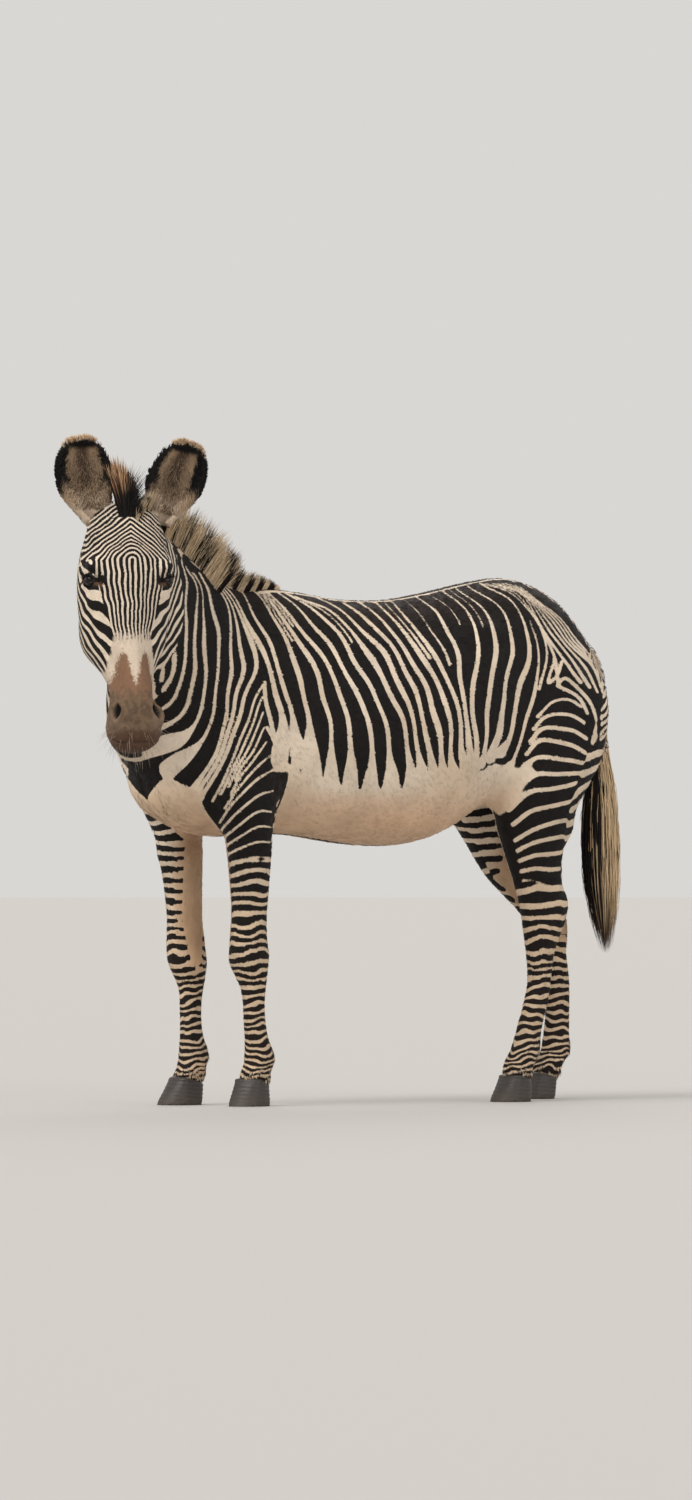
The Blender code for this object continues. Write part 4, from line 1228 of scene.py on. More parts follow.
def ranged(tree, value, start, end, kind="LINEAR"):
    """Carries the values from `start` to `end`, each a low and a high."""
    inputs = {"Value": value, "From Min": start[0], "From Max": start[1]}
    inputs |= {"To Min": end[0], "To Max": end[1]}
    return node(tree, "ShaderNodeMapRange", inputs, interpolation_type=kind).outputs[0]


def mixed(tree, share, one, other):
    return node(tree, "ShaderNodeMix", {0: share, 6: one, 7: other}, data_type="RGBA").outputs[2]


def bumped(tree, height, strength, distance):
    inputs = {"Height": height, "Strength": strength, "Distance": distance}
    return node(tree, "ShaderNodeBump", inputs).outputs[0]


def new_material(name):
    material = bpy.data.materials.new(name)
    material.use_nodes = True
    tree = material.node_tree
    return material, tree, tree.nodes["Principled BSDF"]


def striped_coat(name, bump_height):
    """Colour from attributes, frayed stripe borders, painted root shade easing to the tips, fine hair
    bump.
    """
    material, tree, surface = new_material(name)
    place = node(tree, "ShaderNodeTexCoord", {}).outputs["Object"]
    stripe_value = attribute(tree, "stripe", "Fac")
    pale_colour = attribute(tree, "pale_hair")
    dark_colour = attribute(tree, "dark_hair")
    strand = attribute(tree, "strand", "Fac")
    locks = noise(tree, place, 170.0, 2.0)
    hairs = noise(tree, place, 700.0, 1.0)
    fray = maths(tree, "MULTIPLY_ADD", locks, 0.42, -0.21)
    fine_fray = maths(tree, "MULTIPLY_ADD", hairs, 0.30, -0.15)
    frayed = maths(tree, "ADD", maths(tree, "ADD", stripe_value, fray), fine_fray)
    share = ranged(tree, frayed, (-0.16, 0.16), (0.0, 1.0), "SMOOTHSTEP")
    coat = mixed(tree, share, dark_colour, pale_colour)
    patches = noise(tree, place, 9.0, 3.0)
    shade = ranged(tree, patches, (0.3, 0.7), (0.86, 1.06))
    grain = ranged(tree, hairs, (0.25, 0.75), (0.84, 1.12))
    # Painted shade and light along each hair: 0.88 at the shaded root, up to 1.10 at the lit tip.
    painted_root_shade = ranged(tree, strand, (0.0, 1.0), (0.88, 1.10))
    total = maths(tree, "MULTIPLY", maths(tree, "MULTIPLY", shade, grain), painted_root_shade)
    final = node(tree, "ShaderNodeVectorMath", {0: coat, "Scale": total}, operation="SCALE").outputs[0]
    rough = ranged(tree, locks, (0.2, 0.8), (0.62, 0.85))
    bump = bumped(tree, maths(tree, "ADD", locks, hairs), 0.45, bump_height)
    feed(tree, surface, {"Base Color": final, "Roughness": rough, "IOR": 1.5, "Specular IOR Level": 0.22,
                         "Sheen Weight": 0.03, "Sheen Roughness": 0.5, "Normal": bump})
    return material


coat_material = striped_coat("short_striped_hair", 0.0016)
hide.data.materials.clear()
hide.data.materials.append(coat_material)
print("coat material has", len(coat_material.node_tree.nodes), "nodes")

# %% [markdown]
# ## A flat map of the hide
# Software without these nodes needs the markings as a flat map. The hide is cut into charts by body part
# and by the way it faces, each chart is laid flat by looking straight at it, and the charts are shelved
# in a square by height. The head, the legs and the ears get more room than the trunk, because their lines
# are finer.

# %% Charts by part and facing, shelved in a square
CHART_ROOM = {"head": 2.0, "neck": 1.15, "trunk": 1.0, "tail_dock": 0.8, "ear": 1.2, "foreleg": 1.3,
              "hindleg": 1.3}
HALVINGS = 30
face_points = points[quads].mean(1)
face_part = part_of[quads[:, 0]]
face_normals = soft_normals[quads].mean(1)
face_uv = np.zeros((len(quads), 4, 2))
charts = []
for index, name in enumerate(FLESH):
    in_frame = head_axes if name in ("head", "ear_left", "ear_right") else np.eye(3)
    here = np.flatnonzero(face_part == index)
    local_normals = face_normals[here] @ in_frame.T
    main_axis = abs(local_normals).argmax(1)
    direction = main_axis * 2 + (local_normals[np.arange(len(here)), main_axis] > 0)
    for way in range(6):
        chosen = here[direction == way]
        if not len(chosen):
            continue
        axes = [axis for axis in range(3) if axis != way // 2]
        flat = (points[quads[chosen]] @ in_frame.T)[..., axes] * CHART_ROOM[without_side(name)]
        flat -= flat.reshape(-1, 2).min(0)
        size = flat.reshape(-1, 2).max(0)
        if size[0] > size[1]:
            flat, size = flat[..., ::-1], size[::-1]
        charts.append((size, chosen, flat))
charts.sort(key=lambda chart: -chart[0][1])


def shelve(scale, gap=0.004):
    places, x, y, shelf = [], gap, gap, 0.0
    for size, _, _ in charts:
        wide, tall = size * scale
        if x + wide + gap > 1:
            x, y, shelf = gap, y + shelf + gap, 0.0
        places.append((x, y))
        x += wide + gap
        shelf = max(shelf, tall)
    return places, y + shelf + gap


low_scale, high_scale = 0.02, 1.0
for _ in range(HALVINGS):
    middle_scale = (low_scale + high_scale) / 2
    if shelve(middle_scale)[1] <= 1 and max(size[0] for size, _, _ in charts) * middle_scale < 0.98:
        low_scale = middle_scale
    else:
        high_scale = middle_scale
for (size, chosen, flat), corner_at in zip(charts, shelve(low_scale)[0]):
    face_uv[chosen] = flat * low_scale + corner_at
uv_map = hide.data.uv_layers.new(name="OFBake")
slots_of = face_start[:, None] + np.minimum(np.arange(4), face_size[:, None] - 1)
loop_uv = np.zeros((len(hide.data.loops), 2), np.float32)
loop_uv[slots_of.ravel()] = face_uv.reshape(-1, 2)
uv_map.data.foreach_set("uv", loop_uv.ravel())
print(len(charts), "charts at", round(low_scale, 3), "of the square per metre")

# %% [markdown]
# ## Eyes
# A zebra's eye is a wet, dark brown ball with a pupil drawn out sideways. The colour is painted by angle
# from the line of sight, and a clear, smooth coat gives the hard small highlight that makes it look wet.
# The bare rims of the lids are tubes bent round the almond, and the upper ones carry long dark lashes.

# %% Eyeballs, painted by angle
IRIS = linear("1C0F08")
IRIS_EDGE = linear("0C0604")
PUPIL = linear("040303")
eye_material, eye_tree, eye_surface = new_material("wet_eyeball")
feed(eye_tree, eye_surface, {"Base Color": attribute(eye_tree, "eye_paint"), "Roughness": 0.20,
                             "Specular IOR Level": 0.30, "IOR": 1.38, "Coat Weight": 0.15,
                             "Coat Roughness": 0.02})
BOTH_EYES = (("left", 1), ("right", -1))
other_pieces = []
for side, hand_of in BOTH_EYES:
    ball = bmesh.new()
    bmesh.ops.create_uvsphere(ball, u_segments=56, v_segments=36, radius=EYE_RADIUS - 0.0001)
    eyeball = new_piece("eyeball_" + side, ball)
    eyeball.data.shade_smooth()
    look, front, upper = eye_frame(hand_of)
    out = read(eyeball.data.vertices, "co", 3)
    direction = out / np.linalg.norm(out, axis=1, keepdims=True)
    turned = np.degrees(np.arccos(np.clip(direction @ look, -1, 1)))
    sideways, upright = direction @ front, direction @ upper
    bulge = 1 + 0.035 * smoothstep(42, 0, turned)
    painted = tint(IRIS, IRIS_EDGE, smoothstep(22, 34, turned))
    painted = tint(painted, PUPIL, smoothstep(1.15, 0.85, np.hypot(sideways / 0.34, upright / 0.20)))
    eyeball.data.vertices.foreach_set("co", (out * bulge[:, None] + eye_centres[side]).ravel())
    write_attribute(eyeball.data, "eye_paint", "FLOAT_COLOR", painted)
    eyeball.data.materials.append(eye_material)
    other_pieces.append((eyeball, "eye", ("eye_" + side,)))
print("eyeballs:", len(other_pieces))

# %% Rims of the lids
RIM_OUTSIDE = 1.06
RIM_STEPS = 72
RIM_CORNERS = 8
skin_material, skin_tree, skin_surface = new_material("bare_black_skin")
skin_place = node(skin_tree, "ShaderNodeTexCoord", {}).outputs["Object"]
pore_inputs = {"Vector": skin_place, "Scale": 650.0}
pores = node(skin_tree, "ShaderNodeTexVoronoi", pore_inputs).outputs["Distance"]
skin_bump = bumped(skin_tree, pores, 0.3, 0.0006)
skin_shade = mixed(skin_tree, pores, opaque("17100E"), opaque("2C201B"))
feed(skin_tree, skin_surface, {"Base Color": skin_shade, "Roughness": 0.60, "Normal": skin_bump})


def rim_directions(hand_of):
    """Directions from an eyeball's centre to places round the lid's edge."""
    loop = []
    for turn in np.linspace(0, 2 * np.pi, RIM_STEPS, endpoint=False):
        aim = np.array([math.cos(turn), math.sin(turn)])
        size = 1.0
        for _ in range(12):
            size /= float(almond_share(aim[0] * size * OPENING[0], aim[1] * size * OPENING[1]))
        u, v = aim * size * RIM_OUTSIDE * OPENING
        direction = on_ball(hand_of, u, v - SLANT * u)
        loop.append(direction / np.linalg.norm(direction))
    return loop


rims = bmesh.new()
for side, hand_of in BOTH_EYES:
    loop = rim_directions(hand_of)
    rings = []
    for k, direction in enumerate(loop):
        along_rim = loop[(k + 1) % len(loop)] - loop[k - 1]
        along_rim /= np.linalg.norm(along_rim)
        over = np.cross(direction, along_rim)
        thick = 0.0012 + 0.0004 * abs(math.cos(2 * np.pi * k / len(loop)))
        middle_of_rim = eye_centres[side] + direction * (EYE_RADIUS + 0.0015)
        rings.append([rims.verts.new(middle_of_rim
                                     + thick * (direction * math.sin(a) + over * math.cos(a)))
                      for a in np.linspace(0, 2 * np.pi, RIM_CORNERS, endpoint=False)])
    for before, after in zip([rings[-1], *rings], rings):
        for j in range(RIM_CORNERS):
            following = (j + 1) % RIM_CORNERS
            rims.faces.new((before[j], after[j], after[following], before[following]))
bmesh.ops.recalc_face_normals(rims, faces=rims.faces)
lid_rims = new_piece("eyelid_rims", rims)
lid_rims.data.shade_smooth()
lid_rims.data.materials.append(skin_material)
other_pieces.append((lid_rims, "coat", ()))

# %% [markdown]
# ## Hooves
# A hoof is horn, the stuff of hair and nails, grown down from the coronet in thin rings, ground flat and
# dusty at the edge. Each solid hoof is remeshed finely, smoothed with its sole kept flat, and ringed by
# pushing it in and out with height. Horn is a dull grey-black with an index of 1.56.

# %% Hooves with growth rings
HOOF_VOXEL = 0.0032
HORN_RING = 0.0115
FINE_RING = 0.0043
horn_material, horn_tree, horn_surface = new_material("hoof_horn")


def stretched(place, upright):
    inputs = {"Vector": place, "Scale": (1, 1, upright)}
    return node(horn_tree, "ShaderNodeMapping", inputs).outputs[0]


horn_place = node(horn_tree, "ShaderNodeTexCoord", {}).outputs["Object"]
growth = noise(horn_tree, stretched(horn_place, 9), 42.0, 4.0)
tubules = noise(horn_tree, stretched(horn_place, 0.08), 420.0, 2.0)
above_floor = node(horn_tree, "ShaderNodeSeparateXYZ", {0: horn_place}).outputs["Z"]
dust_noise = noise(horn_tree, horn_place, 60.0, 4.0)
dust_height = maths(horn_tree, "MULTIPLY_ADD", dust_noise, -0.045, above_floor)
dust = ranged(horn_tree, dust_height, (-0.03, 0.03), (0.45, 0.05))
horn_mix = mixed(horn_tree, growth, opaque("171311"), opaque("3A332E"))
dusty_mix = mixed(horn_tree, dust, horn_mix, opaque("54473B"))
horn_rough = ranged(horn_tree, dust, (0.0, 1.0), (0.45, 0.85))
horn_bump = bumped(horn_tree, maths(horn_tree, "ADD", growth, tubules), 0.5, 0.0012)
feed(horn_tree, horn_surface, {"Base Color": dusty_mix, "Roughness": horn_rough, "IOR": 1.56,
                               "Normal": horn_bump})


def dressed_hoof(name):
    hoof = new_piece(name.replace("_hoof", "_horn"), solid_shape(name))
    remesh(hoof, HOOF_VOXEL)
    mesh = hoof.data
    around = neighbours(mesh)
    at = read(mesh.vertices, "co", 3)
    sole = at[:, 2] < 0.0025
    for _ in range(5):
        at = at + 0.6 * (at[around].mean(1) - at)
    middle_of_hoof = at.mean(0)
    out = at - middle_of_hoof
    out[:, 2] = 0
    out /= np.maximum(np.linalg.norm(out, axis=1, keepdims=True), 1e-6)
    ring_height = at[:, 2] + 0.10 * (at[:, 1] - middle_of_hoof[1])
    swell = 0.0006 * np.sin(2 * np.pi * ring_height / HORN_RING)
    swell += 0.0004 * np.sin(2 * np.pi * ring_height / FINE_RING)
    swell += 0.0012 + 0.0015 * smoothstep(0.064, 0.072, at[:, 2])
    at += out * (swell * smoothstep(0.004, 0.012, at[:, 2]))[:, None]
    at[sole, 2] = 0
    at[:, 2] = at[:, 2].clip(0)
    mesh.vertices.foreach_set("co", at.ravel())
    mesh.shade_smooth()
    mesh.materials.clear()
    mesh.materials.append(horn_material)
    return hoof


for name in ("fore_hoof_left", "fore_hoof_right", "hind_hoof_left", "hind_hoof_right"):
    other_pieces.append((dressed_hoof(name), "horn", (name,)))
print("hooves dressed; pieces so far", len(other_pieces) + 1)

# %% [markdown]
# ## Hair as locks
# Hair here has to be solid mesh, so it grows in locks: thin, flattened, three-sided spikes that follow a
# line from root to tip. One function turns any number of such lines into one mesh at once. Each lock's
# patch of the flat map sits at its root's place on the hide's map, so that baked colours land where the
# lock grows.

# %% Roots on the hide, and the maker of locks
hide_tree = KDTree(len(points))
for index, place in enumerate(points.tolist()):
    hide_tree.insert(place, index)
hide_tree.balance()
face_area = np.linalg.norm(crossed_diagonals(points), axis=1) / 2
fine_normals = spread(normals_of(points), 2)
fine_normals /= np.linalg.norm(fine_normals, axis=1, keepdims=True)
hair_pieces = []
LOCK_ON_MAP = 0.003


def nearest(places):
    return np.array([hide_tree.find(place)[1] for place in places.tolist()])


def unit_rows(rows):
    return rows / np.maximum(np.linalg.norm(rows, axis=-1, keepdims=True), 1e-9)


def roots_on(density, count_of_roots):
    """Random places on the hide: place, normal, map place and nearest point. `density` is per face."""
    chance = face_area * density
    chosen = dice.choice(len(quads), count_of_roots, p=chance / chance.sum())
    a, b = dice.random((2, count_of_roots))
    share = np.stack([(1 - a) * (1 - b), a * (1 - b), a * b, (1 - a) * b], 1)[:, :, None]
    own = quads[chosen]
    main_corner = own[np.arange(count_of_roots), share[:, :, 0].argmax(1)]
    return ((points[own] * share).sum(1), unit_rows((fine_normals[own] * share).sum(1)),
            (face_uv[chosen] * share).sum(1), main_corner)


def lock_corners(lines, sides, widths, thick):
    """Three corners round each station of each lock, and one at its tip."""
    ways = unit_rows(np.gradient(lines, axis=1))
    sides = np.broadcast_to(sides, lines.shape)
    sides = unit_rows(sides - ways * (sides * ways).sum(2, keepdims=True))
    ups = np.cross(ways, sides)
    widths = np.broadcast_to(widths, lines.shape[:2])[:, :, None]
    section = [(0.0, thick), (-1.0, -0.35 * thick), (1.0, -0.35 * thick)]
    around = np.stack([lines + sides * widths * x + ups * widths * y for x, y in section], 2)[:, :-1]
    return np.concatenate([around.reshape(len(lines), -1, 3), lines[:, -1:]], 1)


def lock_faces(stations):
    """The corners of one lock's faces in a row, and how many corners each face has."""
    corners = []
    for k in range(stations - 2):
        for j in range(3):
            following = (j + 1) % 3
            corners += [3 * k + j, 3 * k + following, 3 * k + 3 + following, 3 * k + 3 + j]
    last = 3 * (stations - 2)
    for j in range(3):
        corners += [last + j, last + (j + 1) % 3, last + 3]
    return np.array(corners), [4] * (3 * (stations - 2)) + [3] * 3


def make_locks(name, slot_name, lines, sides, widths, thick, values, pale, dark, map_place,
               replaced=(), facing_way=None):
    """Turns lines, locks x stations x 3, root first, into one mesh. Widths are half widths."""
    locks, stations = lines.shape[:2]
    verts = lock_corners(lines, sides, widths, thick)
    per_lock = verts.shape[1]
    corners, face_sizes = lock_faces(stations)
    loops = corners + (np.arange(locks) * per_lock)[:, None]
    sizes = np.tile(face_sizes, locks)
    mesh = bpy.data.meshes.new(name)
    mesh.vertices.add(locks * per_lock)
    mesh.vertices.foreach_set("co", verts.astype(np.float32).ravel())
    mesh.loops.add(loops.size)
    mesh.loops.foreach_set("vertex_index", loops.astype(np.int32).ravel())
    mesh.polygons.add(len(sizes))
    mesh.polygons.foreach_set("loop_start", np.concatenate([[0], np.cumsum(sizes)[:-1]]).astype(np.int32))
    mesh.update(calc_edges=True)
    mesh.shade_smooth()

    def each(value, width=1):
        value = np.asarray(value, float)
        if value.ndim == (1 if width == 1 else 2):
            value = np.repeat(value[:, None], stations, 1)
        body_part = np.repeat(value[:, :-1], 3, axis=1)
        return np.concatenate([body_part, value[:, -1:]], 1).reshape(-1, width)

    strand_at = np.broadcast_to(np.linspace(0, 1, stations), (locks, stations))
    write_markings(mesh, each(values), each(pale, 3), each(dark, 3), each(strand_at))
    spot = np.stack([np.zeros((locks, per_lock)), each(strand_at).reshape(locks, -1) - 0.5], 2)
    spot[:, :-1, 0] = np.tile([0.0, 0.5, -0.5], stations - 1) * (1 - spot[:, :-1, 1])
    uv = (map_place[:, None] + LOCK_ON_MAP * spot).reshape(-1, 2)
    layer = mesh.uv_layers.new(name="OFBake")
    layer.data.foreach_set("uv", uv[loops.ravel()].astype(np.float32).ravel())
    if facing_way is not None:
        mesh.normals_split_custom_set_from_vertices(np.repeat(facing_way, per_lock, 0).tolist())
    piece = bpy.data.objects.new(name, mesh)
    bpy.context.scene.collection.objects.link(piece)
    mesh.materials.append(hair_materials[slot_name])
    hair_pieces.append((piece, slot_name, replaced))
    print(name, locks, "locks,", locks * (6 * (stations - 2) + 3), "triangles")


hair_materials = {"coat": coat_material, "hair": striped_coat("long_coarse_hair", 0.0008)}

# %% [markdown]
# ## Mane
# A zebra's mane is a stiff upright brush on the crest of the neck. The stripes of the neck run on through
# it, and its tips are darker. The locks root in a strip two fingers wide, stand square to the crest and
# grow longer from the withers to the poll.

# %% Mane
MANE_CREAM = linear("EFD8B6")
MANE_TIP = linear("6E4B34")
MANE_LOCKS = 5600
CREST_HALF = 0.017
MANE_ALONG = (-1.06, -1.00, -0.93, -0.85, -0.70, -0.58, -0.46, -0.40, -0.37)
MANE_HIGH = (0.045, 0.065, 0.125, 0.165, 0.152, 0.105, 0.060, 0.032, 0.018)
ROOT_DEPTH = 0.003
crest_y = in_body(face_points)[:, 1]
on_crest = (abs(off_middle[quads].mean(1)) < CREST_HALF) & (face_normals[:, 2] > 0.35)
on_crest &= between(-1.075, crest_y, -0.37)
on_crest &= (is_part["neck"] | is_part["trunk"] | is_part["head"])[quads[:, 0]]
mane_place, mane_normal, mane_map, mane_corner = roots_on(on_crest.astype(float), MANE_LOCKS)
mane_y = in_body(mane_place)[:, 1]
high = np.interp(mane_y, MANE_ALONG, MANE_HIGH)
sideways = off_middle[mane_corner] / CREST_HALF
high *= dice.uniform(0.72, 1.02, len(high)) * (1 - 0.22 * abs(sideways))
backward = np.array([0.0, 1.0, 0.0])
rise = unit_rows(mane_normal * 0.45 + UP)
crest_side = np.tile([1.0, 0.0, 0.0], (len(rise), 1))
slant = dice.normal(0, 0.07, (len(rise), 3))
steps = np.linspace(0, 1, 5)[None, :, None]
lean_back = np.interp(mane_y, (-1.05, -0.80, -0.40), (0.05, 0.22, 0.55))[:, None]
mane_way = unit_rows(rise + backward * lean_back + slant + crest_side * 0.10 * sideways[:, None])
mane_roots = mane_place - mane_normal * ROOT_DEPTH
mane_lines = mane_roots[:, None] + mane_way[:, None] * (high[:, None, None] * steps)
mane_lines = mane_lines + (backward * 0.10 + slant)[:, None] * (high[:, None, None] * steps**2 * 0.6)
mane_widths = np.array([0.0028, 0.0030, 0.0024, 0.0014, 0.0])[None]
mane_widths = mane_widths * dice.uniform(0.6, 1.1, (len(high), 1))
mane_widths *= np.interp(mane_y, (-1.02, -0.95), (0.45, 1.0))[:, None]
tip_share = smoothstep(0.72, 1.0, steps[:, :, 0]) * dice.uniform(0.0, 0.8, (len(high), 1))
shade_of_lock = dice.uniform(0.80, 1.10, (len(high), 1, 1))
tip_share = tip_share[..., None]
mane_pale = blend(MANE_CREAM, MANE_TIP, tip_share) * shade_of_lock
mane_dark = BROWN_BLACK * (1 - 0.3 * tip_share) + MANE_TIP * 0.3 * tip_share
band = np.cos(2 * np.pi * (mane_y + 0.35 * in_body(mane_place)[:, 2]) / 0.046)
mane_values = 0.5 * stripe[mane_corner] + 0.8 * band + 0.25 + dice.normal(0, 0.15, len(high))
mane_values = np.clip(mane_values, -1, 1)
make_locks("mane_hair", "hair", mane_lines, crest_side[:, None], mane_widths, 0.5, mane_values, mane_pale,
           mane_dark, mane_map, ("mane",))

# %% [markdown]
# ## Forelock
# The front of the mane stands up between the ears like a plume: black at the root, rust in the middle,
# with fair tips, and a fan of single dark hairs on its left.

# %% Forelock
FORELOCK_RUST = linear("8E5E3B")
FORELOCK_TIP = linear("CDA781")
lock_head = in_head(face_points)
FORELOCK_LOCKS = 1300
FORELOCK_OFF = 0.006
FORELOCK_HALF = 0.019
on_poll = is_part["head"][quads[:, 0]] & (abs(lock_head[:, 0] + FORELOCK_OFF) < FORELOCK_HALF)
on_poll &= (abs(lock_head[:, 1] - 0.035) < 0.040) & (lock_head[:, 2] > -0.05)
on_poll &= face_normals[:, 2] > 0.15
place, normal, map_place, corner_near = roots_on(on_poll.astype(float), FORELOCK_LOCKS)
own = in_head(place)
toward_side = (own[:, :1] + FORELOCK_OFF) / FORELOCK_HALF
to_left = head_axes[0]
right_part = smoothstep(-0.3, 0.7, toward_side[:, 0])
lock_high = dice.uniform(0.070, 0.150, len(place)) * (1 - 0.25 * abs(toward_side[:, 0]) ** 1.5)
lock_high *= 1 - 0.38 * right_part
spreading = to_left * (toward_side * 0.07 + right_part[:, None] * 0.32)
way = UP + facing * 0.05 - to_left * 0.14 + spreading + dice.normal(0, 0.07, (len(place), 3))
way = unit_rows(way)
fan = dice.random(len(place)) < 0.10
way = np.where(fan[:, None], unit_rows(way + to_left * dice.uniform(0.3, 1.0, (len(place), 1))), way)
lines = (place - normal * ROOT_DEPTH)[:, None] + way[:, None] * lock_high[:, None, None] * steps
bend = lock_high[:, None, None] * steps**2 * dice.uniform(0, 1, (len(place), 1, 1))
lines = lines + (facing * 0.10 - to_left * 0.06) * bend
thinner = np.where(fan, 0.45, 1.0) * dice.uniform(0.6, 1.1, len(place))
widths = np.array([0.0030, 0.0028, 0.0020, 0.0011, 0.0])[None] * thinner[:, None]
along_lock = steps[:, :, 0] * lock_high[:, None] / 0.16
stays_dark = np.where(fan | (dice.random(len(place)) < 0.15 + 0.7 * right_part), 0.12, 1.0)[:, None]
rusty = smoothstep(0.44, 0.70, along_lock + dice.normal(0, 0.07, (len(place), 1))) * stays_dark
fair = smoothstep(0.56, 0.86, along_lock + dice.normal(0, 0.09, (len(place), 1))) * stays_dark
colour = NEAR_BLACK + (FORELOCK_RUST - NEAR_BLACK) * rusty[..., None]
colour = colour + (FORELOCK_TIP - colour) * fair[..., None]
make_locks("forelock_hair", "hair", lines, to_left, widths, 0.5, np.ones(len(place)), colour, colour,
           map_place, ("forelock",))

# %% [markdown]
# ## Tail
# The dock is covered in short hair and carries a long tuft on its lower third. The hair hangs nearly
# straight, black on the side by the leg and fair behind, and thins out to brown tips above the hocks.

# %% Tail switch
TAIL_FAIR = linear("DCC09A")
TAIL_TIP = linear("5A3A26")
switch_low, switch_high = np.array(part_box("tail_switch"))
switch_middle = (switch_low + switch_high)[:2] / 2
on_dock = is_part["tail_dock"][quads[:, 0]] & (face_points[:, 2] < switch_high[2] + 0.17)
TAIL_LOCKS = 2600
low_on_dock = smoothstep(switch_high[2] + 0.17, switch_high[2], face_points[:, 2])
place, normal, map_place, corner_near = roots_on(on_dock * low_on_dock + on_dock * 0.12, TAIL_LOCKS)
locks = len(place)
angle, ring_share = dice.uniform(0, 2 * np.pi, locks), np.sqrt(dice.random(locks))
t = np.linspace(0, 1, 8)[None, :]
root_high = place[:, 2]
is_long = dice.random(locks) < 0.45
long_end = dice.uniform(switch_low[2], switch_low[2] + 0.20, locks)
end_high = np.where(is_long, long_end, dice.uniform(switch_low[2] + 0.15, root_high - 0.10, locks))
level = root_high[:, None] + (end_high - root_high)[:, None] * t
down_switch = (switch_high[2] - level) / (switch_high[2] - switch_low[2])
girth = np.interp(down_switch, (-0.3, 0.0, 0.12, 0.30, 0.50, 0.70, 0.88, 1.0),
                  (0.026, 0.030, 0.042, 0.052, 0.055, 0.048, 0.030, 0.008))
drift = np.interp(down_switch, (0.0, 0.6, 1.0), (0.0, 0.004, 0.024))
settle = smoothstep(0.0, 0.55, t * (root_high - end_high)[:, None] / 0.35)
wave_size = dice.uniform(0.003, 0.011, (locks, 1))
waves = t * dice.uniform(0.8, 1.8, (locks, 1)) + dice.random((locks, 1))
wave = wave_size * np.sin(2 * np.pi * waves) * t
across_tail = np.stack([np.cos(angle), np.sin(angle)], 1)
hang = (switch_middle + np.array([0.0, 1.0]) * drift[..., None]
        + across_tail[:, None] * (ring_share[:, None] * girth)[..., None])
start_flat = place[:, None, :2] + across_tail[:, None] * 0.004
flat = blend(start_flat, hang, settle[..., None]) + wave[..., None] * across_tail[:, None, ::-1]
lines = np.concatenate([flat, level[..., None]], 2)
widths = np.array([0.0020, 0.0026, 0.0027, 0.0025, 0.0022, 0.0018, 0.0011, 0.0])[None]
widths = widths * dice.uniform(0.6, 1.2, (locks, 1))
behind_share = across_tail @ np.array([0.62, 0.78]) + dice.normal(0, 0.45, locks)
tip_share = smoothstep(0.72, 1.0, down_switch + dice.normal(0, 0.06, (locks, 1)))
pale_locks = TAIL_FAIR + (TAIL_TIP - TAIL_FAIR) * tip_share[..., None]
pale_locks *= dice.uniform(0.78, 1.12, (locks, 1, 1))
dark_locks = SOOT + (TAIL_TIP - SOOT) * 0.5 * tip_share[..., None]
side_of_lock = np.stack([-across_tail[:, 1], across_tail[:, 0], np.zeros(locks)], 1)
tail_values = np.where(behind_share > 0.02, 1.0, -1.0)
make_locks("tail_hair", "hair", lines, side_of_lock[:, None], widths, 0.5, tail_values, pale_locks,
           dark_locks, map_place, ("tail_switch",))

# %% [markdown]
# ## Hair of the ears
# Inside, long fair hairs grow from the base and the edges over the painted shade of the hollow. The rim
# is thick, short and black, and the tip ends in a fringe of cream and rust.

